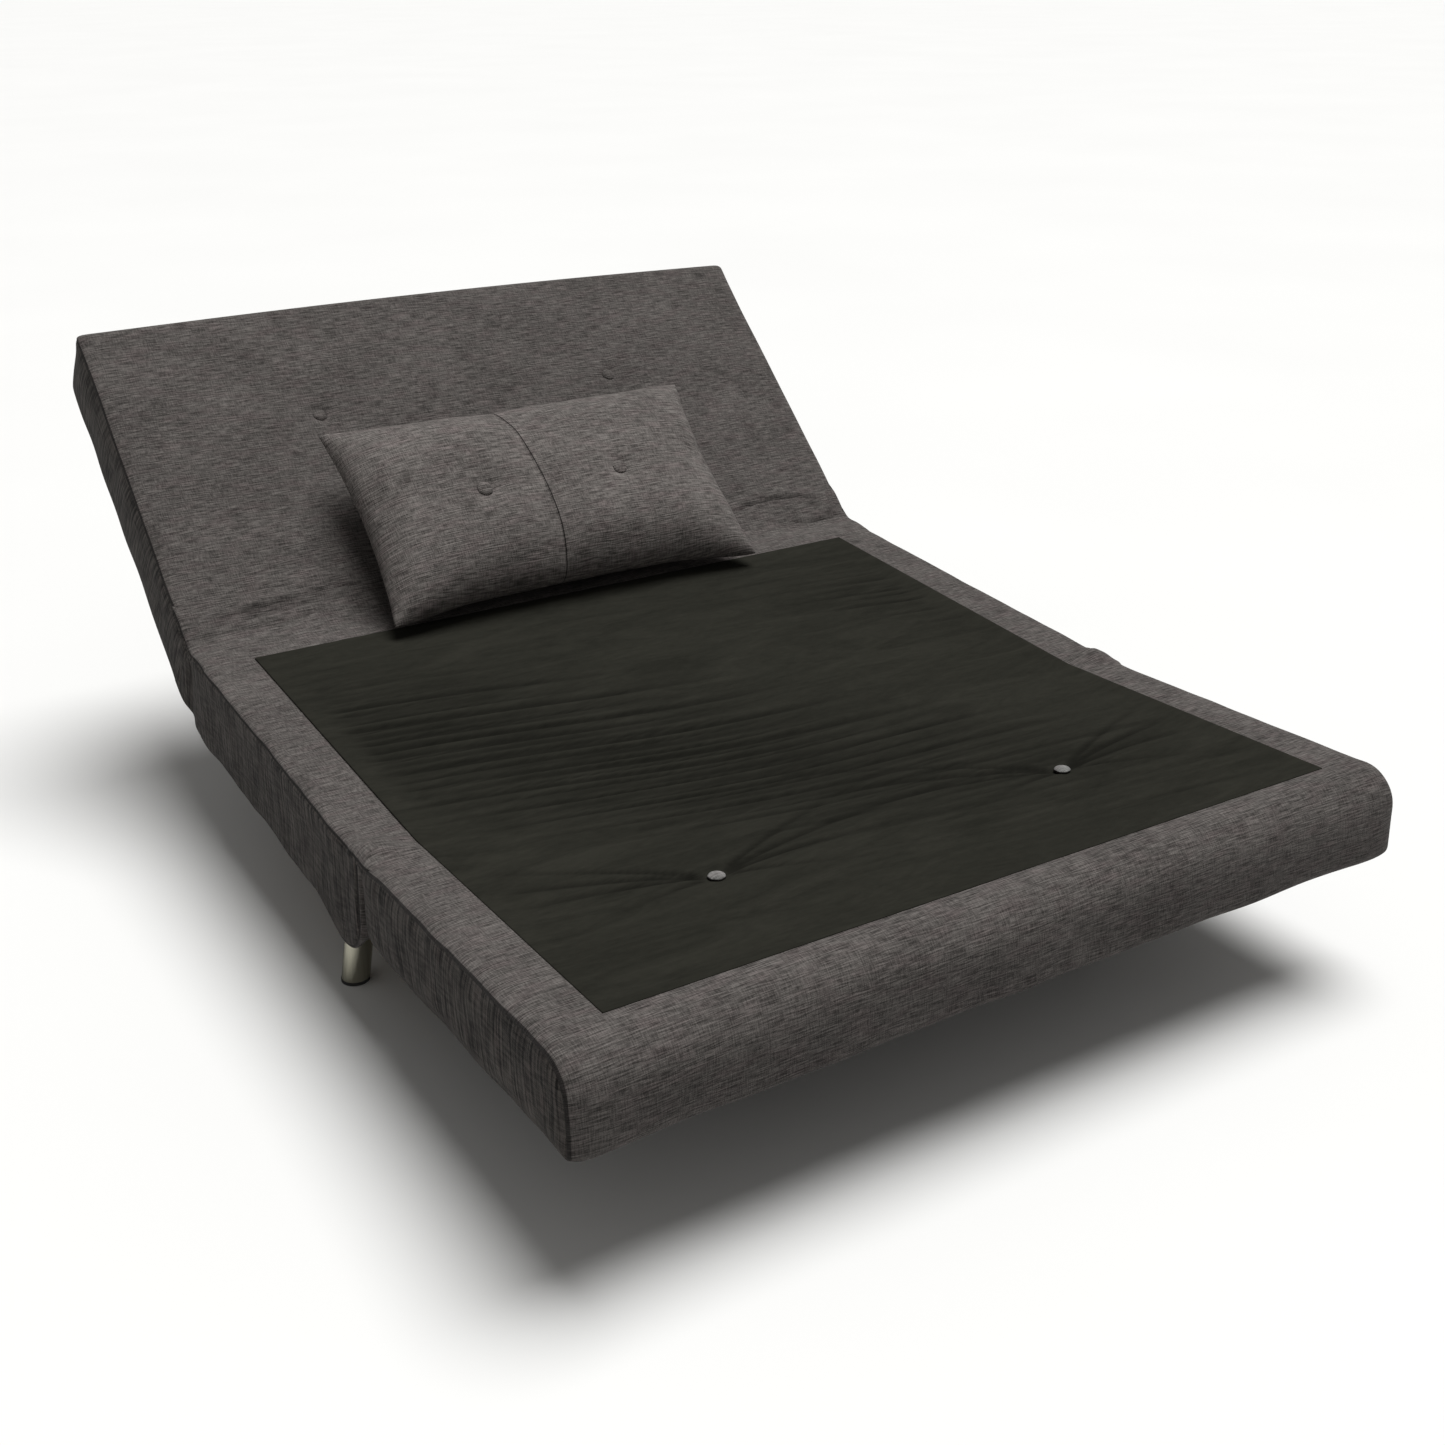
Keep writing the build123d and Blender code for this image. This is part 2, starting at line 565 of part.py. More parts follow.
def front_foams():
    under_frame = FRONT_FRAME_TOP - TUBE - HOLLOW_CLEAR
    with BuildPart() as upper:
        pad(front_plane, FRONT_SPAN, FRONT_THICK, FRONT_ROUNDS, FOAM)
        split(bisect_by=front_plane.offset(FRONT_FOAM_SPLIT), keep=Keep.TOP)
        round_post(front_plane, FRONT_BUTTONS, DIMPLE_R, (-DIMPLE_DEPTH, OVER), Mode.SUBTRACT)
        hinge_slots(front_plane, (-FRONT_FOLD_SLOT, OVER), (FRONT_FOAM_SPLIT - OVER, 0))
    save(upper.part, "front_top_foam")
    with BuildPart() as lower:
        pad(front_plane, FRONT_SPAN, FRONT_THICK, FRONT_ROUNDS, FOAM)
        split(bisect_by=front_plane.offset(FRONT_FOAM_SPLIT - FOAM_GAP), keep=Keep.BOTTOM)
        slab(front_plane, BETWEEN_RAILS, FRONT_POCKET, (under_frame, FRONT_FOAM_SPLIT), Mode.SUBTRACT)
        up = (-FRONT_THICK - OVER, -FRONT_THICK + DIMPLE_DEPTH)
        round_post(front_plane, FRONT_BUTTONS, DIMPLE_R, up, Mode.SUBTRACT)
        hinge_slots(front_plane, (-FRONT_FOLD_SLOT, OVER), (under_frame, 0))
    save(lower.part, "front_seat_foam")


def front_cover():
    with BuildPart() as cover:
        pad(front_plane, FRONT_SPAN, FRONT_THICK, FRONT_ROUNDS, 0)
        pad(front_plane, FRONT_SPAN, FRONT_THICK, FRONT_ROUNDS, COVER, Mode.SUBTRACT)
        window = (-LINING_HALF, LINING_HALF)
        lined = (-FRONT_LENGTH + BORDER_FRONT, OVER)
        slab(front_plane, window, lined, (-FOLD_TOP_R, OVER), Mode.SUBTRACT)
        up = (-FRONT_THICK - OVER, -FRONT_THICK + DIMPLE_DEPTH)
        round_post(front_plane, FRONT_BUTTONS, DIMPLE_R, up, Mode.SUBTRACT)
        hinge_slots(front_plane, (-COVER_SLOT, OVER), (-FRONT_THICK + SLOT_FLOOR, 0))
    save(cover.part, "front_cover")


# ---- backrest ----------------------------------------------------------------------------------
def backrest_foam():
    with BuildPart() as foam:
        pad(back_plane, BACK_SPAN, BACK_THICK, BACK_ROUNDS, FOAM)
        depth = (-BACK_THICK - OVER, BACK_FRAME_TOP + 5)
        slab(back_plane, BETWEEN_RAILS, (38, BACK_LENGTH - 28), depth, Mode.SUBTRACT)
        round_post(back_plane, BACK_BUTTONS, DIMPLE_R, (-DIMPLE_DEPTH, OVER), Mode.SUBTRACT)
        hinge_slots(back_plane, (-OVER, BACK_RECLINE_SLOT), (-BACK_THICK + OVER, SLOT_ROOF))
        disc_slots(back_plane, 0, -RECLINE_DEPTH, SECTOR_R + SECTOR_CLEAR)
    save(foam.part, "backrest_foam")


def backrest_cover():
    with BuildPart() as cover:
        pad(back_plane, BACK_SPAN, BACK_THICK, BACK_ROUNDS, 0)
        pad(back_plane, BACK_SPAN, BACK_THICK, BACK_ROUNDS, COVER, Mode.SUBTRACT)
        round_post(back_plane, BACK_BUTTONS, DIMPLE_R, (-DIMPLE_DEPTH, OVER), Mode.SUBTRACT)
        hinge_slots(back_plane, (-OVER, COVER_SLOT), (-BACK_THICK + SLOT_FLOOR, SLOT_ROOF))
        disc_slots(back_plane, 0, -RECLINE_DEPTH, SECTOR_R + SECTOR_CLEAR)
    save(cover.part, "backrest_cover")


def webbing():
    """Elastic straps stretched over the backrest's frame."""
    with BuildPart() as straps:
        for y in WEBBING_ROWS:
            across = (-RAIL_OUTER + 8, RAIL_OUTER - 8)
            along = (y - WEBBING_WIDE / 2, y + WEBBING_WIDE / 2)
            up = (BACK_FRAME_TOP + SLAT_GAP, BACK_FRAME_TOP + SLAT_GAP + WEBBING_THICK)
            slab(back_plane, across, along, up)
    save(straps.part, "backrest_webbing")


# ---- pull-out stand ----------------------------------------------------------------------------
def guide_tube(name, side):
    gap = (GUIDE - STAND_TUBE) / 2
    with BuildPart() as guide:
        tube_along(level_plane, side * STAND_X, (GUIDE_START, GUIDE_END), STAND_TOP + gap, GUIDE, GUIDE)
    save(guide.part, name)


def guide_brackets():
    """Blocks that hang the guide tubes from the seat's cross tubes."""
    floor_up = STAND_TOP + (GUIDE - STAND_TUBE) / 2 + FIT
    half_width, half_length = BRACKET[0] / 2, BRACKET[1] / 2
    with BuildPart() as brackets:
        for side in SIDES.values():
            for y in SEAT_CROSS_ROWS:
                across = mirrored(side, STAND_X - half_width, STAND_X + half_width)
                along = (y - half_length, y + half_length)
                slab(level_plane, across, along, (floor_up, FRAME_TOP + TUBE))
        split(bisect_by=seat_plane.offset(FRAME_TOP - TUBE - FIT), keep=Keep.BOTTOM)
    save(brackets.part, "guide_brackets")


def stand_tube(name, side):
    with BuildPart() as runner:
        along = (STAND_Y + STAND_TUBE / 2 + 0.2, STAND_TAIL)
        tube_along(level_plane, side * STAND_X, along, STAND_TOP, STAND_TUBE, STAND_TUBE)
    save(runner.part, name)


def stand_cross_tube():
    with BuildPart() as bar:
        tube_across(level_plane, STAND_Y, STAND_X + STAND_TUBE / 2, STAND_TOP, STAND_TUBE)
    save(bar.part, "stand_cross_tube")


def stand_leg(name, side):
    half = STAND_TUBE / 2
    low = GLIDE - FOLD_HEIGHT
    high = STAND_TOP - STAND_TUBE - 0.2
    with BuildPart() as post:
        across = (side * STAND_X - half, side * STAND_X + half)
        along = (STAND_Y - half, STAND_Y + half)
        slab(level_plane, across, along, (low, high))
        across = (across[0] + WALL, across[1] - WALL)
        along = (along[0] + WALL, along[1] - WALL)
        slab(level_plane, across, along, (low, high), Mode.SUBTRACT)
    save(post.part, name)


def stand_small_parts():
    spots = [(side * STAND_X, STAND_Y) for side in SIDES.values()]
    with BuildPart() as glides:
        for x, y in spots:
            slab(level_plane, (x - 14, x + 14), (y - 14, y + 14), (-FOLD_HEIGHT, GLIDE - FOLD_HEIGHT - 0.2))
            slab(level_plane, (x - 9, x + 9), (y - 9, y + 9), (GLIDE - FOLD_HEIGHT - 0.2, 20 - FOLD_HEIGHT))
    save(glides.part, "stand_glides")
    with BuildPart() as rubbers:
        for x, y in spots:
            slab(level_plane, (x - 20, x + 20), (y - 12, y + 12), (STAND_TOP + 0.2, STAND_TOP + PAD_THICK))
        fillet(rubbers.edges().filter_by(Axis.Z), 5)
    save(rubbers.part, "stand_rubber_pads")


# ---- pillow ------------------------------------------------------------------------------------
def pillow_form(inset, mode=Mode.ADD):
    """A pillow: a lens in side view met by a flatter lens in front view."""
    half_edge = PILLOW_EDGE / 2 - inset
    half_mid = PILLOW_THICK / 2 - inset
    lo, hi = PILLOW_ALONG + inset, PILLOW_ALONG + PILLOW_HEIGHT - inset
    mid = (lo + hi) / 2
    left, right = PILLOW_X - PILLOW_WIDTH / 2 + inset, PILLOW_X + PILLOW_WIDTH / 2 - inset
    with BuildSketch(side_view(pillow_plane)) as lens:
        with BuildLine():
            ThreePointArc((lo, half_edge), (mid, half_mid), (hi, half_edge))
            Line((hi, half_edge), (hi, -half_edge))
            ThreePointArc((hi, -half_edge), (mid, -half_mid), (lo, -half_edge))
            Line((lo, -half_edge), (lo, half_edge))
        make_face()
    side_body = extrude(lens.sketch, amount=WIDTH / 2, both=True, mode=Mode.PRIVATE)
    front_view = Plane(origin=pillow_plane.origin, x_dir=(1, 0, 0), z_dir=-pillow_plane.y_dir)
    with BuildSketch(front_view) as wide_lens:
        with BuildLine():
            Spline((left, half_edge), (PILLOW_X, half_mid + 4), (right, half_edge))
            Line((right, half_edge), (right, -half_edge))
            Spline((right, -half_edge), (PILLOW_X, -half_mid - 4), (left, -half_edge))
            Line((left, -half_edge), (left, half_edge))
        make_face()
    front_body = extrude(wide_lens.sketch, amount=WIDTH / 2, both=True, mode=Mode.PRIVATE)
    add(side_body & front_body, mode=mode)


def pillow():
    with BuildPart() as filling:
        pillow_form(FOAM)
    save(filling.part, "pillow_filling")
    with BuildPart() as cover:
        pillow_form(0)
        pillow_form(COVER, Mode.SUBTRACT)
    save(cover.part, "pillow_cover")
    buttons("pillow_buttons", pillow_plane, PILLOW_BUTTONS, PILLOW_THICK / 2 + 0.3)


# ---- build -------------------------------------------------------------------------------------
SEAT_RAIL = (31, SEAT_LENGTH - 16)
FRONT_RAIL = (-FRONT_LENGTH + 45, -14)
BACK_RAIL = (42, BACK_LENGTH - 32)
inner_face = RAIL_OUTER + PLATE_GAP / 2 + PLATE
outer_face = inner_face + PLATE_GAP + PLATE
for word, sign in SIDES.items():
    name = f"seat_side_rail_{word}"
    side_rail(name, seat_plane, sign, SEAT_RAIL, FRAME_TOP, SEAT_RAIL_TALL, SEAT_HINGE_BOLTS)
    name = f"front_side_rail_{word}"
    side_rail(name, front_plane, sign, FRONT_RAIL, FRONT_FRAME_TOP, TUBE, FRONT_FOLD_BOLTS)
    name = f"backrest_side_rail_{word}"
    side_rail(name, back_plane, sign, BACK_RAIL, BACK_FRAME_TOP, TUBE, BACK_RECLINE_BOLTS)
    fold_leaf(f"fold_hinge_seat_leaf_{word}", seat_plane, sign, SEAT_FOLD_BOLTS, 0)
    fold_leaf(f"fold_hinge_front_leaf_{word}", front_plane, sign, FRONT_FOLD_BOLTS, 1)
    recline_bracket(f"recline_bracket_{word}", sign)
    recline_arm(f"recline_arm_{word}", sign)
    front_plate = (LEG_BOLT_X - 12, FRONT_LEG_Y, FRONT_PLATE_SIZE, FRONT_PLATE_TOP, front_leg_bolts())
    leg(f"front_leg_{word}", sign, FRONT_LEG_X, FRONT_LEG_Y, *front_plate)
    rear_plate = (REAR_LEG_X - REAR_PLATE_SHIFT, REAR_BEAM_Y, REAR_PLATE_SIZE, REAR_PLATE_TOP, rear_leg_bolts())
    leg(f"rear_leg_{word}", sign, REAR_LEG_X, REAR_LEG_Y, *rear_plate)
    guide_tube(f"guide_tube_{word}", sign)
    stand_tube(f"stand_tube_{word}", sign)
    stand_leg(f"stand_leg_{word}", sign)

cross_tubes("seat_cross_tubes", seat_plane, (*SEAT_CROSS_ROWS, REAR_BEAM_Y), FRAME_TOP)
cross_tubes("front_cross_tubes", front_plane, FRONT_CROSS_ROWS, FRONT_FRAME_TOP)
cross_tubes("backrest_cross_tubes", back_plane, BACK_CROSS_ROWS, BACK_FRAME_TOP)
slats("seat_slats", seat_plane, SEAT_SLAT_ROWS, FRAME_TOP + SLAT_THICK + SLAT_GAP)
slats("front_slats", front_plane, FRONT_SLAT_ROWS, FRONT_FRAME_TOP + SLAT_THICK + SLAT_GAP)
webbing()

seat_foam()
seat_cover()
lined = (FOLD_TOP_R, SEAT_LENGTH - crease_shift - BORDER_BACK - FOAM_GAP)
lining("seat_lining", seat_plane, lined, [])
front_foams()
front_cover()
lined = (-FRONT_LENGTH + BORDER_FRONT + FOAM_GAP, -FOLD_TOP_R)
lining("front_lining", front_plane, lined, FRONT_BUTTONS)
buttons("lining_buttons", front_plane, FRONT_BUTTONS, -DIMPLE_DEPTH + BUTTON_SET)
under_plane = Plane(origin=front_plane.origin, x_dir=(1, 0, 0), z_dir=-front_plane.z_dir)
under_spots = [(x, -y) for x, y in FRONT_BUTTONS]
buttons("front_seat_buttons", under_plane, under_spots, FRONT_THICK - DIMPLE_DEPTH + BUTTON_SET)
backrest_foam()
backrest_cover()
buttons("backrest_buttons", back_plane, BACK_BUTTONS, -DIMPLE_DEPTH + BUTTON_SET)

hinge_pins("fold_hinge_pins", seat_plane, 0, 0, FOLD_PIN_R, FOLD_PIN_R + 2.5)
hinge_pins("recline_pins", seat_plane, SEAT_LENGTH, -RECLINE_DEPTH, RECLINE_PIN_R, RECLINE_PIN_R + 4)
recline_pawls()
side_bolts("seat_hinge_bolts", seat_plane, SEAT_HINGE_BOLTS, inner_face)
side_bolts("front_hinge_bolts", front_plane, FRONT_FOLD_BOLTS, outer_face)
side_bolts("backrest_hinge_bolts", back_plane, BACK_RECLINE_BOLTS, outer_face)

leg_glides()
leg_bolts()
guide_brackets()
stand_cross_tube()
stand_small_parts()
pillow()
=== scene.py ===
"""Looks of the tri-fold futon sofa bed: upholstery, lining, pillow and finishes round the CAD frame.

Metres and degrees, in the row frame. A section (front, seat, backrest) has its own axes: x across the bed,
y along the section and z out of its upper face, with z = 0 at the plane of that face.
"""

import json
import math

import bpy
import numpy as np
from mathutils import Euler, Matrix, Vector


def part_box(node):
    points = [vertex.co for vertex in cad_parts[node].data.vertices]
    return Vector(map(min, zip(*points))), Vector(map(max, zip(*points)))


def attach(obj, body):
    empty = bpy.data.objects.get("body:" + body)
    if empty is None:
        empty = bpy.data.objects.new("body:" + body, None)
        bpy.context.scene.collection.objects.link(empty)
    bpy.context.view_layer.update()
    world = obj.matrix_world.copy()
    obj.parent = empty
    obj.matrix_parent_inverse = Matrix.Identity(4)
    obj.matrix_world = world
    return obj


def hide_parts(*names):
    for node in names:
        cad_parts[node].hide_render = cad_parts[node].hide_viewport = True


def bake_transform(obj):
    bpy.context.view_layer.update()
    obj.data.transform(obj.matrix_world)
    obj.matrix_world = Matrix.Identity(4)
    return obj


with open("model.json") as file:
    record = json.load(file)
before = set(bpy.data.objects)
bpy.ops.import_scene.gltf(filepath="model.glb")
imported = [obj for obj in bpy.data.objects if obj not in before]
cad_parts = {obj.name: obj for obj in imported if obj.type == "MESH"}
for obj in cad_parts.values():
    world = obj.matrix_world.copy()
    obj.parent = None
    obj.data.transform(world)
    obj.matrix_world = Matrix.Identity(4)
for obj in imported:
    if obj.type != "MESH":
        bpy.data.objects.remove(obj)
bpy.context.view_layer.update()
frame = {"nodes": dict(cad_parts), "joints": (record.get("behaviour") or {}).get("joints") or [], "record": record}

# ---- driving sizes ----
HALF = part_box("seat_cover")[1].x
FRONT_LENGTH = 0.545
SEAT_LENGTH = 0.668
BACK_LENGTH = 0.590
FRONT_THICK = 0.121
SEAT_THICK = 0.147
BACK_THICK = 0.146
FRONT_TILT = -2.1
SEAT_TILT = 3.6
BACK_TILT = 42.0
RECLINE_DEPTH = 0.015  # from the backrest's face to the recline pin
CREASE_HALF_ANGLE = math.radians(BACK_TILT - SEAT_TILT) / 2
CREASE_SHIFT = RECLINE_DEPTH * math.tan(CREASE_HALF_ANGLE)  # the crease lies this far before the seat's end
LINING_HALF = HALF - 0.077
LINING_FRONT = -FRONT_LENGTH + 0.070
LINING_BACK = SEAT_LENGTH - CREASE_SHIFT - 0.071
LINING_BUTTONS = [(-0.265, -0.273), (0.265, -0.273)]
BACK_BUTTONS = [(-0.267, 0.381), (0.267, 0.381)]

joints = {j["name"]: j for j in frame["joints"]}
fold_point = Vector(joints["front_fold"]["pos_m"])
recline_point = Vector(joints["backrest_recline"]["pos_m"])


def section_matrix(origin, lean):
    """The section's axes as a matrix: its y axis climbs by lean degrees."""
    return Matrix.Translation(origin) @ Matrix.Rotation(math.radians(lean), 4, "X")


front_axes = section_matrix(fold_point, FRONT_TILT)
seat_axes = section_matrix(fold_point, SEAT_TILT)
back_axes = section_matrix(recline_point, BACK_TILT) @ Matrix.Translation((0, 0, RECLINE_DEPTH))


# ---- camera, light and floor ----
def make_camera():
    data = bpy.data.cameras.new("camera")
    data.sensor_width = 36
    data.lens = 43.55
    camera = bpy.data.objects.new("camera", data)
    camera.location = fold_point + Vector((-1.195, -1.786, 0.984))
    camera.rotation_euler = Euler([math.radians(a) for a in (66.01, 0.32, -31.98)])
    bpy.context.scene.collection.objects.link(camera)
    bpy.context.scene.camera = camera


def make_lights():
    scene = bpy.context.scene
    scene.view_settings.view_transform = "Standard"
    world = bpy.data.worlds.new("studio")
    world.use_nodes = True
    world.node_tree.nodes["Background"].inputs["Color"].default_value = (1.0, 0.99, 0.97, 1)
    world.node_tree.nodes["Background"].inputs["Strength"].default_value = 0.22
    scene.world = world
    for name, strength, spread, turn in (
        ("softbox_above", 3.6, 40, (0, 14, 0)),
        ("softbox_front", 0.05, 40, (58, 0, 30)),
    ):
        data = bpy.data.lights.new(name, "SUN")
        data.energy = strength
        data.angle = math.radians(spread)
        lamp = bpy.data.objects.new(name, data)
        lamp.rotation_euler = Euler([math.radians(a) for a in turn])
        scene.collection.objects.link(lamp)


# ---- node helpers ----
class Nodes:
    """A material's node tree with short calls for the nodes that these finishes use."""

    def __init__(self, name, **shader):
        self.material = bpy.data.materials.new(name)
        self.material.use_nodes = True
        self.tree = self.material.node_tree
        self.shader = self.tree.nodes["Principled BSDF"]
        for key, value in shader.items():
            self.shader.inputs[key.replace("_", " ").title().replace("Ior", "IOR")].default_value = value

    def add(self, kind, inputs=None, **settings):
        node = self.tree.nodes.new("ShaderNode" + kind)
        for key, value in settings.items():
            setattr(node, key, value)
        for key, value in (inputs or {}).items():
            if isinstance(value, bpy.types.NodeSocket):
                self.tree.links.new(value, node.inputs[key])
            else:
                node.inputs[key].default_value = value
        return node

    def place(self, source, scale):
        """Coordinates stretched along each axis: object coordinates or the weave's own map."""
        if source == "weave":
            origin = self.add("UVMap", uv_map="weave").outputs["UV"]
        else:
            origin = self.add("TexCoord").outputs["Object"]
        return self.add("Mapping", {"Vector": origin, "Scale": scale}).outputs["Vector"]

    def noise(self, vector, detail=2.0, roughness=0.5, twist=0.0):
        inputs = {"Vector": vector, "Scale": 1.0, "Detail": detail}
        inputs |= {"Roughness": roughness, "Distortion": twist}
        return self.add("TexNoise", inputs).outputs["Fac"]

    def bands(self, source, scale, direction):
        """Even bands: the threads of a weave, or ribs."""
        inputs = {"Vector": self.place(source, (1, 1, 1)), "Scale": scale}
        return self.add("TexWave", inputs, bands_direction=direction).outputs["Fac"]

    def math(self, operation, first, second):
        return self.add("Math", {0: first, 1: second}, operation=operation).outputs[0]

    def blend(self, first, share, second, rest):
        """Adds share of the first value to rest of the second."""
        return self.math("ADD", self.math("MULTIPLY", first, share), self.math("MULTIPLY", second, rest))

    def ramp(self, factor, stops):
        node = self.add("ValToRGB", {"Fac": factor})
        elements = node.color_ramp.elements
        while len(elements) < len(stops):
            elements.new(0.5)
        for element, (position, colour) in zip(elements, stops):
            element.position = position
            element.color = (*colour, 1)
        return node.outputs["Color"]

    def mix(self, factor, first, second, blend="MIX"):
        node = self.add("Mix", data_type="RGBA", blend_type=blend)
        for key, value in (("Factor", factor), ("A", first), ("B", second)):
            socket = next(s for s in node.inputs if s.name == key and (key == "Factor" or s.type == "RGBA"))
            if isinstance(value, bpy.types.NodeSocket):
                self.tree.links.new(value, socket)
            else:
                socket.default_value = value
        return next(s for s in node.outputs if s.type == "RGBA")

    def colour(self, value):
        self.tree.links.new(value, self.shader.inputs["Base Color"])

    def roughness(self, value):
        self.tree.links.new(value, self.shader.inputs["Roughness"])

    def bump(self, height, depth, strength=1.0):
        inputs = {"Height": height, "Distance": depth, "Strength": strength}
        self.tree.links.new(self.add("Bump", inputs).outputs["Normal"], self.shader.inputs["Normal"])


# ---- finishes ----
def linen(name, dark, light, coarse=1.0, painted_shade_below=0.0):
    """Heathered linen-look weave: slubs across, finer threads along, and a plain weave under both.

    coarse widens the slubs, and the last argument is the share of its tone that the cloth loses low on a section,
    as painted shade for the dimmer light there.
    """
    m = Nodes(name, roughness=0.9, sheen_weight=0.03, sheen_roughness=0.5, specular_ior_level=0.10)
    across = m.noise(m.place("weave", (38 / coarse, 540 / coarse, 1)), detail=3, roughness=0.6)
    along = m.noise(m.place("weave", (560 / coarse, 75 / coarse, 1)), detail=3, roughness=0.6)
    fine = m.noise(m.place("weave", (1000, 1000, 1)), detail=1)
    cloud = m.noise(m.place("weave", (8, 13, 1)), detail=2)
    threads = m.blend(across, 0.66, along, 0.34)
    tone = m.blend(threads, 0.86, fine, 0.14)
    tone = m.math("ADD", tone, m.math("MULTIPLY", m.math("SUBTRACT", cloud, 0.5), 0.10))
    middle = tuple((a * 0.58 + b * 0.42) for a, b in zip(dark, light))
    colour = m.ramp(tone, [(0.40, dark), (0.50, middle), (0.61, light)])
    tint = m.noise(m.place("weave", (22, 60, 1)), detail=2)
    spots = m.ramp(tint, [(0.45, (0, 0, 0)), (0.70, (1, 1, 1))])
    colour = m.mix(spots, colour, m.mix(1.0, colour, WARM_YARN, "MULTIPLY"))
    # painted shade: the cloth darkens from 2.5 cm to 8.5 cm under its section's plane
    if painted_shade_below:
        depth = m.add("SeparateXYZ", {0: m.place("object", (1, 1, 1))}).outputs["Z"]
        low = m.add("MapRange", {"Value": depth, "From Min": -0.025, "From Max": -0.085}).outputs["Result"]
        grey = (1 - painted_shade_below,) * 3 + (1,)
        colour = m.mix(low, colour, m.mix(1.0, colour, grey, "MULTIPLY"))
    m.colour(colour)
    weave = m.math("MULTIPLY", m.bands("weave", 115.0, "X"), m.bands("weave", 115.0, "Y"))
    m.bump(m.math("ADD", m.math("MULTIPLY", weave, 0.35), threads), 0.0010, 0.7)
    return m.material


def lining_cloth():
    """Plain black-green lining: a fine twill with faint cloudy tone, and painted shade that darkens it down in its
    creases.
    """
    m = Nodes("lining_cloth", roughness=0.9, specular_ior_level=0.03)
    cloud = m.noise(m.place("weave", (60, 150, 1)), detail=5, roughness=0.65)
    tone = m.blend(m.bands("weave", 230.0, "DIAGONAL"), 0.35, cloud, 0.65)
    pressed = m.noise(m.place("weave", (5.0, 20, 1)), detail=4, roughness=0.6, twist=1.6)
    shade = m.blend(tone, 0.45, pressed, 0.55)
    plain = m.ramp(shade, [(0.32, (0.0132, 0.0132, 0.0104)), (0.68, (0.0266, 0.0260, 0.0207))])
    # painted shade: half the lining's tone, mixed in by each point's crease depth
    crease_shade_colour = m.mix(1.0, plain, (0.50, 0.50, 0.50, 1), "MULTIPLY")
    m.colour(m.mix(m.add("Attribute", attribute_name="crease").outputs["Fac"], plain, crease_shade_colour))
    m.bump(m.math("ADD", m.math("MULTIPLY", tone, 0.16), pressed), 0.0026, 0.5)
    return m.material


def metal(name, colour, rough, streak):
    """Drawn steel: fine lengthwise streaks in its roughness and tone."""
    m = Nodes(name, metallic=1.0, specular_ior_level=0.5)
    drawn = m.noise(m.place("object", (260, 260, 6)), detail=3)
    dark = tuple(c * 0.82 for c in colour)
    m.colour(m.ramp(drawn, [(0.3, dark), (0.7, colour)]))
    m.roughness(m.math("ADD", m.math("MULTIPLY", drawn, streak), rough))
    m.bump(drawn, 0.00008, 0.4)
    return m.material


def painted(name, colour, rough):
    """Powder coat or moulded plastic: a fine orange-peel surface, with a little lighter wear in patches."""
    m = Nodes(name, specular_ior_level=0.4)
    peel = m.noise(m.place("object", (900, 900, 900)), detail=2)
    wear = m.noise(m.place("object", (14, 14, 14)), detail=4)
    wear_and_shade = tuple(min(1.0, c * 1.7 + 0.01) for c in colour)
    m.colour(m.ramp(wear, [(0.35, colour), (0.80, wear_and_shade)]))
    m.roughness(m.math("ADD", m.math("MULTIPLY", wear, 0.18), rough))
    m.bump(peel, 0.00015, 0.5)
    return m.material


def beech():
    """Glued beech slats: straight grain along the slat with short dark flecks."""
    m = Nodes("slat_wood", roughness=0.5, coat_weight=0.15, coat_roughness=0.35)
    grain = m.noise(m.place("object", (5, 160, 160)), detail=4, roughness=0.6)
    fleck = m.noise(m.place("object", (90, 700, 500)), detail=1)
    base = m.ramp(grain, [(0.3, (0.42, 0.26, 0.14)), (0.7, (0.60, 0.42, 0.25))])
    flecks = m.ramp(fleck, [(0.60, (0, 0, 0)), (0.68, (0.6, 0.6, 0.6))])
    m.colour(m.mix(flecks, base, (0.25, 0.13, 0.06, 1)))
    m.bump(grain, 0.0003, 0.5)
    return m.material


def strap_cloth():
    """Elastic webbing: even ribs in a mottled black and grey yarn."""
    m = Nodes("strap_cloth", roughness=0.85, sheen_weight=0.1)
    ribs = m.bands("object", 90.0, "Y")
    yarn = m.noise(m.place("object", (700, 220, 220)), detail=2)
    tone = m.blend(ribs, 0.5, yarn, 0.5)
    m.colour(m.ramp(tone, [(0.2, (0.03, 0.03, 0.03)), (0.8, (0.10, 0.10, 0.095))]))
    m.bump(tone, 0.0005)
    return m.material


GREY_DARK, GREY_LIGHT = (0.0300, 0.0272, 0.0252), (0.148, 0.135, 0.127)
# painted shade: the side panels' linen is a darker copy of the cover's, for the weaker light on the side faces
SHADED_SIDE_DARK, SHADED_SIDE_LIGHT = (0.0040, 0.0034, 0.0030), (0.074, 0.066, 0.060)
WARM_YARN = (1.0, 0.94, 0.96, 1)  # tint of the purplish brown yarns in the grey
PILLOW_PAINTED_LIGHT = 1.40  # painted light: the pillow's cloth is made this much lighter than the cover, for the light on its front
SEAM_SHADOW_TONE = 0.24  # share of the cloth's tone left in a sewn seam: partly dark thread, partly painted shadow


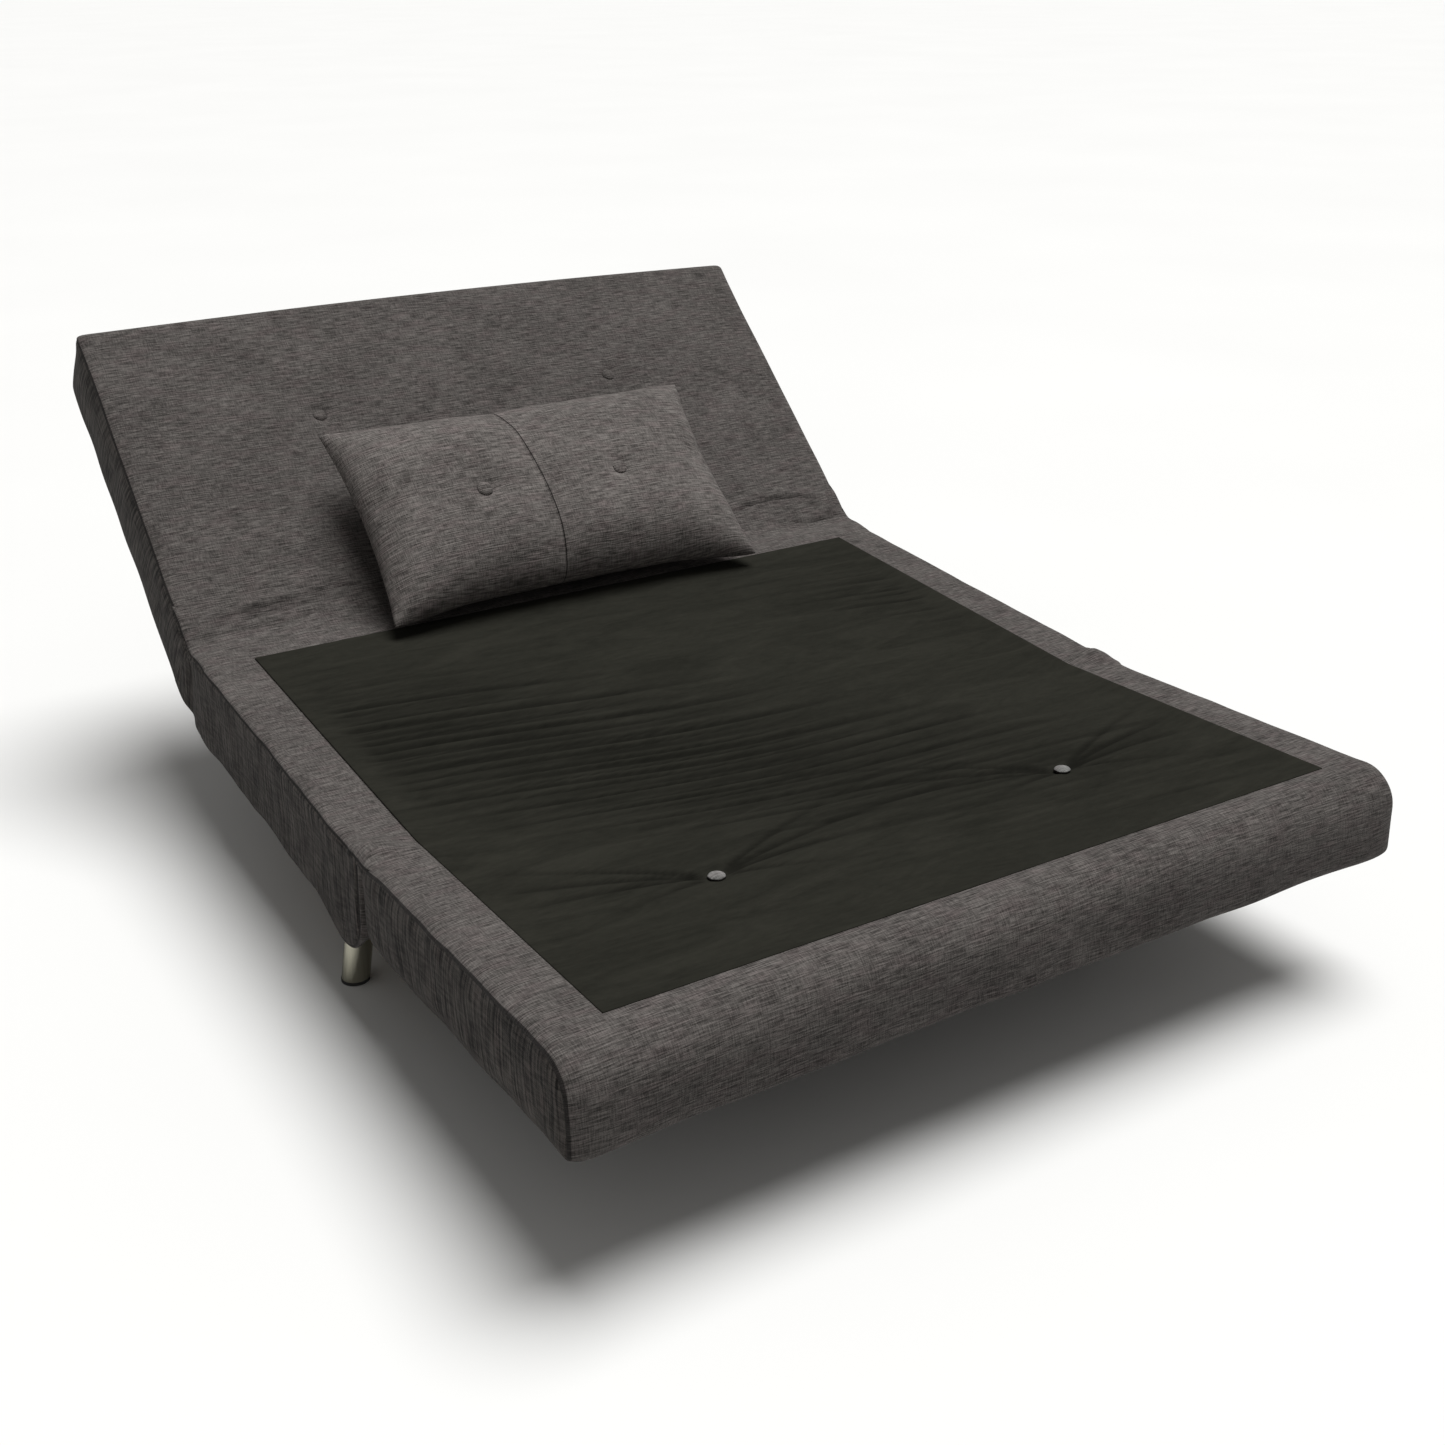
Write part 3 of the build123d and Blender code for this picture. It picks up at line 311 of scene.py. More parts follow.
# ---- mesh helpers ----
def new_mesh(name, points, faces, maps, kinds, materials):
    """A smooth mesh object. maps holds each face corner's place on the cloth, in metres."""
    mesh = bpy.data.meshes.new(name)
    mesh.from_pydata([tuple(p) for p in points], [], faces)
    layer = mesh.uv_layers.new(name="weave")
    layer.data.foreach_set("uv", np.asarray(maps, np.float32).ravel())
    for material in materials:
        mesh.materials.append(material)
    mesh.polygons.foreach_set("material_index", kinds)
    mesh.polygons.foreach_set("use_smooth", [True] * len(faces))
    mesh.update()
    made = bpy.data.objects.new(name, mesh)
    bpy.context.scene.collection.objects.link(made)
    return made


def grid_faces(rows, columns, flip):
    """Quads of a rows by columns grid of points."""
    faces = []
    for r in range(rows - 1):
        for c in range(columns - 1):
            a = r * columns + c
            quad = (a, a + 1, a + columns + 1, a + columns)
            faces.append(quad[::-1] if flip else quad)
    return faces


def sheet_mesh(name, points, cloth, materials, flip=False, stretches=None):
    """A grid of points (rows, columns, 3) as a cloth surface; cloth gives each point's place in the weave.

    stretches holds the material's number for each stretch between two columns.
    """
    rows, columns = points.shape[:2]
    faces = grid_faces(rows, columns, flip)
    flat = cloth.reshape(-1, 2)
    maps = [flat[i] for face in faces for i in face]
    kinds = (stretches or [0] * (columns - 1)) * (rows - 1)
    return new_mesh(name, points.reshape(-1, 3), faces, maps, kinds, materials)


def travelled_along(path):
    """How far along a line of points each of them is."""
    return np.concatenate([[0], np.cumsum(np.linalg.norm(np.diff(path, axis=0), axis=1))])


def refine(piece, thickness=0.0, levels=1):
    """Bakes a subdivision, and a cloth thickness where one is given, into the piece's mesh."""
    smooth = piece.modifiers.new("smooth", "SUBSURF")
    smooth.levels = smooth.render_levels = levels
    smooth.boundary_smooth = "PRESERVE_CORNERS"
    if thickness:
        solid = piece.modifiers.new("thickness", "SOLIDIFY")
        solid.thickness = thickness
        solid.offset = -1
    bpy.context.view_layer.update()
    graph = bpy.context.evaluated_depsgraph_get()
    final = bpy.data.meshes.new_from_object(piece.evaluated_get(graph), depsgraph=graph)
    piece.modifiers.clear()
    piece.data = final
    final.name = piece.name


def coords(mesh):
    out = np.empty(len(mesh.vertices) * 3, np.float64)
    mesh.vertices.foreach_get("co", out)
    return out.reshape(-1, 3)


def waves(a, b, size, seed):
    """A gentle, seeded, smooth ripple of about one unit over two coordinates; size is its wavelength."""
    source = np.random.default_rng(seed)
    total, count = np.zeros_like(a), 7
    for _ in range(count):
        turn, phase = source.uniform(0, 2 * math.pi, 2)
        pace = 2 * math.pi / size * source.uniform(0.6, 1.5)
        total += np.sin(pace * (a * math.cos(turn) + b * math.sin(turn)) + phase)
    return total / math.sqrt(count)


def bell(distance, width):
    """One at no distance, and fading away within about twice the width."""
    return np.exp(-((distance / width) ** 2))


def smoothstep(low, high, value):
    t = np.clip((value - low) / (high - low), 0, 1)
    return t * t * (3 - 2 * t)


def tuft(x, y, spots, depth, reach=0.016, spread=0.055, folds=9):
    """How far a surface is pulled down round its buttons, with fine pleats that run out from each."""
    down = np.zeros_like(x)
    for k, (bx, by) in enumerate(spots):
        r = np.hypot(x - bx, y - by)
        angle = np.arctan2(y - by, x - bx)
        pleats = np.cos(folds * angle + 1.3 * k) * bell(r - 0.026, 0.020)
        down += depth * (0.62 * bell(r, reach) + 0.38 * np.exp(-r / spread))
        down += 0.0011 * pleats * (depth / 0.012)
    return down


# ---- padded sections ----
PAD_CELLS = 93  # cells across a pad, between its rounded edges
ARC = 3  # steps of each half corner
RIM = [(0.018, 0.0), (0.0095, 0.0005), (0.0050, 0.0018), (0.0022, 0.0044)]  # from the side face, inwards
SEAM = (0.0036, 0.0062)
PANEL = [(0.0020, 0.0078), (0.0002, 0.0120)]
EDGE = [*RIM, SEAM, *PANEL]
EDGE_KINDS = [0, 0, 0, 2, 2, 1]  # cloth of the stretch after each of EDGE's points: cover, side panel darkened as painted shade, or seam darkened by thread and painted shadow


def outline(span, bottom, top, radii, flat_steps, end_steps):
    """Side view of a pad, anticlockwise from the middle of its first corner: points and outward normals."""
    corners = [(span[0], bottom), (span[1], bottom), (span[1], top), (span[0], top)]
    inward = [(1, 1), (-1, 1), (-1, -1), (1, -1)]
    centres = [np.array(c) + np.array(s) * r for c, s, r in zip(corners, inward, radii)]
    points, normals = [], []

    def add(centre, radius, degrees_):
        direction = np.array([math.cos(math.radians(degrees_)), math.sin(math.radians(degrees_))])
        points.append(centre + radius * direction)
        normals.append(direction)

    for k in range(4):
        facing = 90 * k - 90
        here, then = centres[k], centres[(k + 1) % 4]
        r_here, r_then = radii[k], radii[(k + 1) % 4]
        for i in range(ARC):
            add(here, r_here, facing - 45 + 45 * i / ARC)
        steps = end_steps if k % 2 else flat_steps
        for i in range(steps):
            share = i / steps
            add(here * (1 - share) + then * share, r_here * (1 - share) + r_then * share, facing)
        for i in range(ARC):
            add(then, r_then, facing + 45 * i / ARC)
    return np.array(points), np.array(normals)


def side_columns(count):
    """Columns from left to right as (x, inset), count cells between the rims, and each stretch's cloth."""
    flat_half = HALF - RIM[0][0]
    middle = [(-flat_half + 2 * flat_half * k / count, 0.0) for k in range(1, count)]
    right = [(HALF - d, i) for d, i in EDGE]
    left = [(-x, i) for x, i in right]
    return left[::-1] + middle + right, EDGE_KINDS[::-1] + [0] * count + EDGE_KINDS


def pad_mesh(name, profile, sides):
    """A closed pad: the cover wraps round its length, and a panel closes each side inside a sewn seam.

    The weave's map starts so that it runs on from section to section over their upper faces.
    """
    points, normals = profile
    flat_count, end_count = sides
    n = len(points)
    columns, stretches = side_columns(PAD_CELLS)
    verts = []
    for x, inset in columns:
        loop = points - normals * inset
        verts.extend((x, y, z) for y, z in loop)
    lengths = np.linalg.norm(np.roll(points, -1, axis=0) - points, axis=1)
    first_top = sum(sides) + ARC
    start = -points[first_top][0] - lengths[:first_top].sum()
    travelled = np.concatenate([[0], np.cumsum(lengths)]) + start
    faces, maps, kinds = [], [], []
    for c in range(len(columns) - 1):
        (x0, i0), (x1, i1) = columns[c], columns[c + 1]
        for j in range(n):
            k = (j + 1) % n
            faces.append((c * n + j, c * n + k, (c + 1) * n + k, (c + 1) * n + j))
            if stretches[c] == 1:
                corner = [(j, i0), (k, i0), (k, i1), (j, i1)]
                maps.extend((points[a] - normals[a] * i)[::-1] + (0.3, 0.7) for a, i in corner)
            else:
                u0, u1 = x0 + np.sign(x0) * i0, x1 + np.sign(x1) * i1
                v0, v1 = travelled[j], travelled[j + 1]
                maps.extend([(u0, v0), (u0, v1), (u1, v1), (u1, v0)])
            kinds.append(stretches[c])
    for side in (0, 1):
        column = (len(columns) - 1) * side
        x, inset = columns[column]
        index = cap_grid(verts, points - normals * inset, column * n, x, flat_count, end_count)
        for i in range(flat_count):
            for j in range(end_count):
                quad = [index[i][j], index[i + 1][j], index[i + 1][j + 1], index[i][j + 1]]
                quad = quad if side else quad[::-1]
                faces.append(tuple(quad))
                maps.extend((verts[a][2] + 0.3, verts[a][1] + 0.7) for a in quad)
                # painted shade: the side caps take the darker side-panel cloth
                kinds.append(1)
    return new_mesh(name, verts, faces, maps, kinds, cloths)


def cap_grid(verts, loop, first, x, flat_count, end_count):
    """Fills the outline's loop with a grid that meets its four sides; returns the grid's point numbers."""
    n = len(loop)
    index = [[0] * (end_count + 1) for _ in range(flat_count + 1)]
    for i in range(flat_count + 1):
        index[i][0] = i
        index[flat_count - i][end_count] = (flat_count + end_count + i) % n
    for j in range(end_count + 1):
        index[flat_count][j] = (flat_count + j) % n
        index[0][end_count - j] = (2 * flat_count + end_count + j) % n

    def at(i, j):
        return loop[index[i][j]]

    spots = {}
    for i in range(1, flat_count):
        s = i / flat_count
        for j in range(1, end_count):
            t = j / end_count
            edge = at(i, 0) * (1 - t) + at(i, end_count) * t + at(0, j) * (1 - s) + at(flat_count, j) * s
            low = at(0, 0) * (1 - s) + at(flat_count, 0) * s
            high = at(0, end_count) * (1 - s) + at(flat_count, end_count) * s
            spots[i, j] = edge - low * (1 - t) - high * t
    for i in range(flat_count + 1):
        for j in range(end_count + 1):
            if (i, j) in spots:
                index[i][j] = len(verts)
                verts.append((x, *spots[i, j]))
            else:
                index[i][j] += first
    return index


# ---- cloth simulation ----
def add_cloth(piece, held, pressure):
    """Makes the piece a pressurised cloth whose held points stay still."""
    group = piece.vertex_groups.new(name="held")
    group.add([int(i) for i in np.flatnonzero(held)], 1.0, "REPLACE")
    cloth = piece.modifiers.new("cloth", "CLOTH")
    s = cloth.settings
    s.quality = 4
    s.mass = 0.25
    s.tension_stiffness = s.compression_stiffness = 18.0
    s.shear_stiffness = 7.0
    s.bending_stiffness = 0.6
    s.vertex_group_mass = "held"
    s.use_pressure = True
    s.uniform_pressure_force = pressure
    s.effector_weights.gravity = 0.0
    cloth.collision_settings.use_collision = False
    cloth.collision_settings.use_self_collision = False


def run_cloth(pieces):
    """Steps every piece's cloth together and returns each one's final points."""
    scene = bpy.context.scene
    last = 20
    scene.frame_start, scene.frame_end = 1, last
    for piece in pieces:
        piece.modifiers["cloth"].point_cache.frame_end = last
    for step in range(1, last + 1):
        scene.frame_set(step)
    graph = bpy.context.evaluated_depsgraph_get()
    found = [coords(piece.evaluated_get(graph).data) for piece in pieces]
    for piece in pieces:
        piece.modifiers.clear()
        piece.vertex_groups.clear()
    scene.frame_set(1)
    return found


def settle(base, swollen, most):
    """The swollen shape with each point's travel eased off towards the most that it may be."""
    travel = swollen - base
    far = np.linalg.norm(travel, axis=1)
    keep = most * np.tanh(far / np.maximum(most, 1e-6)) / np.maximum(far, 1e-9)
    return base + travel * keep[:, None]


# ---- surfaces that neighbours share ----
BORDER_TOP = -0.0024  # upper face of the grey borders, just under the section's plane
LINING_EDGE, LINING_MIDDLE = -0.0014, -0.0040  # height of the lining at its hem and further in
HINGE_POCKET = 0.0045  # the pads stay this much lower under the fold hinges
LINING_PLAY = 0.0034  # room for the pad's own face under the lining
PROUD = 0.0010  # a bridging strip over the pads it joins
FACE = (-0.030, -0.012)  # heights where a pad's side passes into its upper face
UNDER_LINING = (0.004, 0.034)  # distances inside the window where a pad drops under the lining


def inside_window(x, t):
    """Distance inwards from the lining's edge; negative outside it. t runs from the fold to the rear."""
    return np.minimum(LINING_HALF - np.abs(x), np.minimum(t - LINING_FRONT, LINING_BACK - t))


def cross_folds(x, t):
    """Slack of the lining: long soft swells with narrow creases between them, strongest behind the fold."""
    drift = t + 0.020 * np.sin(2.6 * x + 0.7) + 0.007 * np.sin(9.0 * x + 2.0) + 0.09 * x
    total = np.zeros_like(x)
    for size, phase, side in ((0.047, 0.4, 0.9), (0.031, 2.2, -1.3), (0.068, 4.1, 0.5)):
        patch = smoothstep(-0.15, 0.95, np.sin(5.5 * x + 3.1 * side + 6 * t))
        wave = np.sin(2 * math.pi * drift / size + phase + side * 2.0 * x)
        total += patch * (0.30 * wave - 1.10 * (0.5 + 0.5 * wave) ** 9)
    behind = 0.22 + 0.78 * smoothstep(-0.34, -0.04, t) * (1 - smoothstep(0.28, 0.50, t))
    return total * behind


def button_pulls(x, t):
    """Creases that run out sideways from each lining button."""
    total = np.zeros_like(x)
    for bx, by in LINING_BUTTONS:
        out = np.abs(x - bx)
        for slope, reach in ((0.50, 0.13), (0.26, 0.20), (0.06, 0.15), (-0.34, 0.07)):
            line = t - by - (slope + np.where(x > bx, 0.0, 0.22)) * out + 0.38 * out**2
            width = 0.0030 + 0.011 * out
            total += bell(line, width) * np.exp(-out / reach) * smoothstep(0.008, 0.03, out)
    return total


def lining_slack(x, t):
    """How far the lining's creases rise over, or dip under, its taut surface."""
    slack = 0.0052 * cross_folds(x, t) - 0.0085 * button_pulls(x, t)
    return slack * smoothstep(0.012, 0.060, inside_window(x, t))


def lining_height(x, t):
    """Height of the lining over the sections' plane, never above it."""
    inner = smoothstep(0.002, 0.030, inside_window(x, t))
    slack = lining_slack(x, t)
    deep = tuft(x, t, LINING_BUTTONS, 0.012)
    height = LINING_EDGE * (1 - inner) + (LINING_MIDDLE + slack) * inner - deep * inner
    return np.minimum(height, -0.0008)


def top_limit(x, t):
    """The highest that a pad's upper face may be: the border, and lower under the lining."""
    under = smoothstep(*UNDER_LINING, inside_window(x, t))
    pocket = HINGE_POCKET * smoothstep(0.535, 0.550, np.abs(x)) * (1 - smoothstep(0.022, 0.036, np.abs(t)))
    return -pocket + BORDER_TOP * (1 - under) + (lining_height(x, t) - LINING_PLAY) * under


def press_top(points):
    """Holds the upper part of a bed pad under its limit, and right at it under the lining."""
    x, y, z = points.T
    limit = top_limit(x, y)
    near = smoothstep(*FACE, z)
    under = smoothstep(*UNDER_LINING, inside_window(x, y)) * near
    z = z + near * (np.minimum(z, limit) - z)
    points[:, 2] = z + under * (limit - z)


# ---- the three pads ----
UNDERSIDE_SLACK = 0.002  # the cover hangs this much under the section's thickness
PAD_RISE = 0.0012  # room over an unfilled pad, for its cloth to swell into


def make_pad(name, p):
    """A pad before it is filled."""
    low, high = p["span"][0] + p["ends"][0], p["span"][1] - p["ends"][1]
    bottom, top = -p["thick"] - UNDERSIDE_SLACK, BORDER_TOP - PAD_RISE
    profile = outline((low, high), bottom, top, p["radii"], *p["steps"])
    pad = pad_mesh(name, profile, [2 * ARC + steps for steps in p["steps"]])
    pad.matrix_world = p["axes"]
    return pad


def freedom(points, span, ends):
    """The most that each point may swell: little on top and at the joints, more elsewhere."""
    x, y, z = points.T
    top = smoothstep(-0.020, -0.008, z)
    most = 0.0055 * (1 - top) + 0.0016 * top
    side = smoothstep(HALF - 0.012, HALF - 0.006, np.abs(x))
    most = most * (1 - side) + 0.0032 * side
    for end, near in ((span[0], ends[0]), (span[1], ends[1])):
        close = 1 - smoothstep(0.010, 0.050, np.abs(y - end))
        most = most * (1 - close) + (0.0007 if near < 0.003 else 0.0065) * close
    return most


def held_points(points, extra=None):
    """Seams stay put in the simulation: the ring along each side panel."""
    held = np.abs(np.abs(points[:, 0]) - (HALF - SEAM[0])) < 0.0004
    return held if extra is None else held | extra


BAY_ROOF = -0.0735  # underside of the seat's foam, over its frame
SKIRTS = (0.0155, 0.0215, 0.0160)  # the cover's skirt round that bay, at the sides, the fold and the crease
CHANNEL_ROOF = -0.110  # the skirts at the fold and the crease end here between the legs, over the stand


def hollow_seat(points):
    """Opens the seat from below: a thin skirt round the frame, with a wide channel for the stand."""
    x, y, z = points.T
    within = (np.abs(x) < HALF - SKIRTS[0]) & (y > SKIRTS[1]) & (y < SEAT_LENGTH - SKIRTS[2])
    bay = (z < -0.105) & within
    z[bay] = BAY_ROOF
    channel = 1 - smoothstep(0.452, 0.475, np.abs(x))
    floor = -SEAT_THICK * (1 - channel) + CHANNEL_ROOF * channel
    points[:, 2] = np.maximum(z, np.where(bay, z, floor))
    return bay


def soften(points, seed, bottom):
    """Small unevenness of stuffed cloth, strongest along the lower edges."""
    x, y, z = points.T
    low = 1 - smoothstep(bottom + 0.01, bottom + 0.06, z)
    side = smoothstep(HALF - 0.02, HALF - 0.002, np.abs(x))
    points[:, 2] += low * (0.0012 + 0.0014 * side) * waves(x, y, 0.16, seed)
    points[:, 0] += side * np.sign(x) * 0.0008 * waves(y, z, 0.09, seed + 1)
    points[:, 1] += (1 - side) * 0.0010 * waves(x, z, 0.15, seed + 2) * smoothstep(-0.01, -0.03, z)


def greys(share):
    """The cover's dark and light tones, times share."""
    return [tuple(c * share for c in tone) for tone in (GREY_DARK, GREY_LIGHT)]


# painted shade: the cover loses 0.34 of its tone low on each section
cover = linen("grey_linen", GREY_DARK, GREY_LIGHT, painted_shade_below=0.34)
# painted shade: the darker linen for the pads' sides, the strips' sides and the darts
panel = linen("grey_linen_side_painted_shade", SHADED_SIDE_DARK, SHADED_SIDE_LIGHT, coarse=2.4)
# painted shadow, partly dark thread: the dark cloth of the seams, the buttons' backs and rims, and the pillow's
# middle seam
seam = linen("seam_shadow", *greys(SEAM_SHADOW_TONE))
# painted light: a lighter copy of the cover's linen for the pillow and its buttons
brightened_pillow_cloth = linen("grey_linen_pillow_painted_light", *greys(PILLOW_PAINTED_LIGHT))
cloths = [cover, panel, seam]
black = lining_cloth()

PADS = {
    "front_pad": dict(
        axes=front_axes,
        body="front_section",
        span=(-FRONT_LENGTH, -0.0006),
        thick=FRONT_THICK,
        radii=(0.013, 0.030, 0.006, 0.050),
        steps=(42, 6),
        ends=(0.006, 0.0004),
        stands_for=("front_cover", "front_top_foam", "front_seat_foam"),
    ),
    "seat_pad": dict(
        axes=seat_axes,
        body="seat",
        span=(0.0006, SEAT_LENGTH - 0.0006),
        thick=SEAT_THICK,
        radii=(0.052, 0.018, 0.022, 0.006),
        steps=(50, 8),
        ends=(0.0004, 0.0010),
        stands_for=("seat_cover", "seat_foam"),
    ),
    "backrest_pad": dict(
        axes=back_axes,
        body="backrest",
        span=(0.0006, BACK_LENGTH),
        thick=BACK_THICK,
        radii=(0.018, 0.022, 0.015, 0.022),
        steps=(44, 8),
        ends=(0.0010, -0.004),
        stands_for=("backrest_cover", "backrest_foam"),
    ),
}


def start_pads():
    pads, bases, most = [], [], []
    for name, p in PADS.items():
        pad = make_pad(name, p)
        points = coords(pad.data)
        still = hollow_seat(points) | (points[:, 2] < -0.06) if name == "seat_pad" else None
        pad.data.vertices.foreach_set("co", points.ravel())
        held = held_points(points, still)
        give = freedom(points, p["span"], p["ends"])
        give[held] = 0.0
        add_cloth(pad, held, 4.0)
        pads.append(pad)
        bases.append(points)
        most.append(give)
    return pads, bases, most


def low_wrinkles(x, y):
    """Long slack wrinkles of the backrest's cloth, low at each side of the pillow."""
    total = np.zeros_like(x)
    for left, right, height, rise, size in (
        (-0.57, -0.16, 0.052, 0.016, 1.0),
        (-0.50, -0.22, 0.096, -0.010, 0.5),
        (0.34, 0.58, 0.058, 0.020, 0.9),
    ):
        share = np.clip((x - left) / (right - left), 0, 1)
        line = y - height - rise * np.sin(math.pi * share) - 0.05 * rise * np.sin(31 * x)
        ridge = 0.0052 * bell(line, 0.011)
        groove = 0.0062 * bell(line + 0.017, 0.0075)
        total += size * (ridge - groove) * smoothstep(0, 0.25, share) * (1 - smoothstep(0.72, 1, share))
    return total


TOP_CROWN = 0.009  # how far the backrest's top edge swells upwards in the middle
BAG_DEPTH, BAG_PLACE = 0.022, 0.085  # slack cloth that hangs low beside the front legs


def finish_pads(pads, bases, swollen, most):
    for k, (pad, base, after, give) in enumerate(zip(pads, bases, swollen, most)):
        p = PADS[pad.name]
        points = settle(base, after, give)
        soften(points, 11 * k + 3, -p["thick"])
        pad.data.vertices.foreach_set("co", points.ravel())
        refine(pad)
        points = coords(pad.data)
        x, y, z = points.T
        if pad.name == "seat_pad":
            low = smoothstep(-0.055, -0.105, z) * smoothstep(0.20, 0.54, np.abs(x))
            points[:, 2] -= BAG_DEPTH * low * bell(y - BAG_PLACE, 0.055)
        if pad.name == "front_pad":
            down = smoothstep(-0.075, -0.100, z)
            points[:, 2] += down * tuft(x, y, LINING_BUTTONS, 0.010)
        if pad.name == "backrest_pad":
            points[:, 1] += TOP_CROWN * (1 - (x / HALF) ** 2) * smoothstep(0.5 * y.max(), y.max(), y)
            face = smoothstep(*FACE, z)
            points[:, 2] += face * low_wrinkles(x, y)
            points[:, 2] -= face * tuft(x, y, BACK_BUTTONS, 0.0115, reach=0.015, spread=0.040)
        else:
            press_top(points)
        pad.data.vertices.foreach_set("co", points.ravel())
        pad.data.update()
        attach(pad, p["body"])
        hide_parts(*p["stands_for"])


# ---- cloth that crosses the joints ----
def on_bed(x, t, height):
    """Points of the bed's upper face in the row frame: front axes before the fold, seat axes after it."""
    flat = np.stack([x, t, height], -1)
    front = flat @ np.array(front_axes.to_3x3()).T + np.array(front_axes.translation)
    seat = flat @ np.array(seat_axes.to_3x3()).T + np.array(seat_axes.translation)
    share = smoothstep(-0.018, 0.018, t)[..., None]
    return front * (1 - share) + seat * share


CREASE_DEEP = 0.0042  # the lining's painted shade is at its darkest where a crease is this deep


def with_hems(low, high, inner):
    """Places across the lining: a close pair at each hem, and the inner ones between them."""
    return np.concatenate([[low, low + 0.003], inner, [high - 0.003, high]])


def make_lining():
    inner_rows = np.arange(LINING_FRONT + 0.010, LINING_BACK - 0.006, 0.0045)
    inner_columns = np.linspace(-LINING_HALF + 0.010, LINING_HALF - 0.010, 120)
    rows = with_hems(LINING_FRONT, LINING_BACK, inner_rows)
    columns = with_hems(-LINING_HALF, LINING_HALF, inner_columns)
    t, x = np.meshgrid(rows, columns, indexing="ij")
    points = on_bed(x, t, lining_height(x, t))
    lining = sheet_mesh("bed_lining", points, np.stack([x, t], -1), [black])
    # painted shade: each point's crease depth, as a share of the deepest, darkens the lining there
    wear_and_shade = lining.data.attributes.new("crease", "FLOAT", "POINT")
    wear_and_shade.data.foreach_set("value", np.clip(-lining_slack(x, t) / CREASE_DEEP, 0, 1).ravel())
    refine(lining, thickness=0.0009)
    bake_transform(lining)
    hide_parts("seat_lining", "front_lining")


def rim_path():
    """A border strip's section from the lining outwards and down the side: (x, z) with z under the plane."""
    path = [(LINING_HALF - 0.006, BORDER_TOP - 0.0030)]
    path += [(LINING_HALF + out, BORDER_TOP) for out in (0.004, 0.024, 0.044)]
    path += [(HALF - d, BORDER_TOP - i) for d, i in EDGE]
    return [*path, (HALF - 0.003, -0.0180)]


def make_fold_strips():
    reach = 0.042
    along = np.linspace(-reach, reach, 17)
    for word, side in (("left", -1), ("right", 1)):
        path = np.array(rim_path())
        t, _ = np.meshgrid(along, path[:, 0], indexing="ij")
        dive = 0.0042 * smoothstep(0.70 * reach, reach, np.abs(t)) - PROUD
        edge = smoothstep(HALF - 0.018, HALF - 0.001, path[:, 0])[None, :]
        x = path[:, 0][None, :] - dive * edge
        z = path[:, 1][None, :] - dive * (1 - edge * 0.5)
        crease = 0.0012 * bell(t, 0.006) + 0.0016 * bell(t - 0.013, 0.005)
        z = z - crease * (1 - edge) * 0.4
        x = x - crease * edge
        over_hinge = smoothstep(0.536, 0.563, x) * (1 - smoothstep(0.585, 0.599, x))
        hump = 0.0105 * over_hinge * (1 - smoothstep(0.007, 0.030, np.abs(t)))
        z = np.minimum(z, -0.0009) + hump
        points = on_bed(x * side, t, z)
        travelled = travelled_along(path)
        across = np.broadcast_to(side * (path[0, 0] + travelled)[None, :], t.shape)
        cloth = np.stack([across, -t], -1)
        stretches = [0] * 4 + EDGE_KINDS + [1]
        strip = sheet_mesh(f"fold_strip_{word}", points, cloth, cloths, side < 0, stretches)
        refine(strip, thickness=0.0008, levels=2)
        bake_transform(strip)


def in_section(axes, y, z):
    """The y and z in the row frame of a point in a section's side view."""
    spot = axes @ Vector((0, y, z))
    return np.array([spot.y, spot.z])


seat_dir, back_dir = [in_section(axes, 1, 0) - in_section(axes, 0, 0) for axes in (seat_axes, back_axes)]


def valley(depth, reach, steps):
    """A smooth curve down the seat, through the crease and up the backrest, that deep below both faces."""
    low = in_section(seat_axes, SEAT_LENGTH - CREASE_SHIFT, 0)
    drop = depth / math.cos(CREASE_HALF_ANGLE)
    middle = back_dir - seat_dir
    corner = low - drop * middle / np.linalg.norm(middle)
    first, last = corner - seat_dir * reach, corner + back_dir * reach
    s = np.linspace(0, 1, steps)[:, None]
    return first * (1 - s) ** 2 + 2 * corner * s * (1 - s) + last * s**2


def path_normals(path):
    along = np.gradient(path, axis=0)
    along /= np.linalg.norm(along, axis=1)[:, None]
    return np.stack([-along[:, 1], along[:, 0]], -1)


def make_crease_strip():
    """The cover's run through the crease between seat and backrest, with the slack's small folds."""
    turn = valley(0.0030, 0.022, 11)
    run = np.array([0.060, 0.050, 0.038, 0.025, 0.012])
    path = np.concatenate([turn[0] - run[:, None] * seat_dir, turn, turn[-1] + run[::-1, None] * back_dir])
    normals = path_normals(path)
    travelled = travelled_along(path)
    middle = travelled[-1] / 2
    columns, stretches = side_columns(91)
    x, inset = np.array(columns).T
    s, xx = np.meshgrid(travelled - middle, x, indexing="ij")
    slack = 0.0030 * waves(xx, s * 2.5, 0.21, 5) * bell(s, 0.050)
    line = s - 0.030 - 0.06 * np.abs(xx + 0.35)
    folds = 0.0042 * bell(line, 0.006)
    folds = folds * smoothstep(-0.60, -0.45, xx) * (1 - smoothstep(-0.25, -0.12, xx))
    dive = 0.0050 * smoothstep(middle - 0.022, middle, np.abs(s))
    lift = PROUD + slack - folds - dive - inset[None, :]
    yz = path[:, None, :] + normals[:, None, :] * lift[..., None]
    points = np.concatenate([xx[..., None], yz], -1)
    cloth = np.stack([xx + np.sign(xx) * inset[None, :], -(s + SEAT_LENGTH)], -1)
    strip = sheet_mesh("crease_strip", points, cloth, cloths, stretches=stretches)
    refine(strip, thickness=0.0008)
    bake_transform(strip)


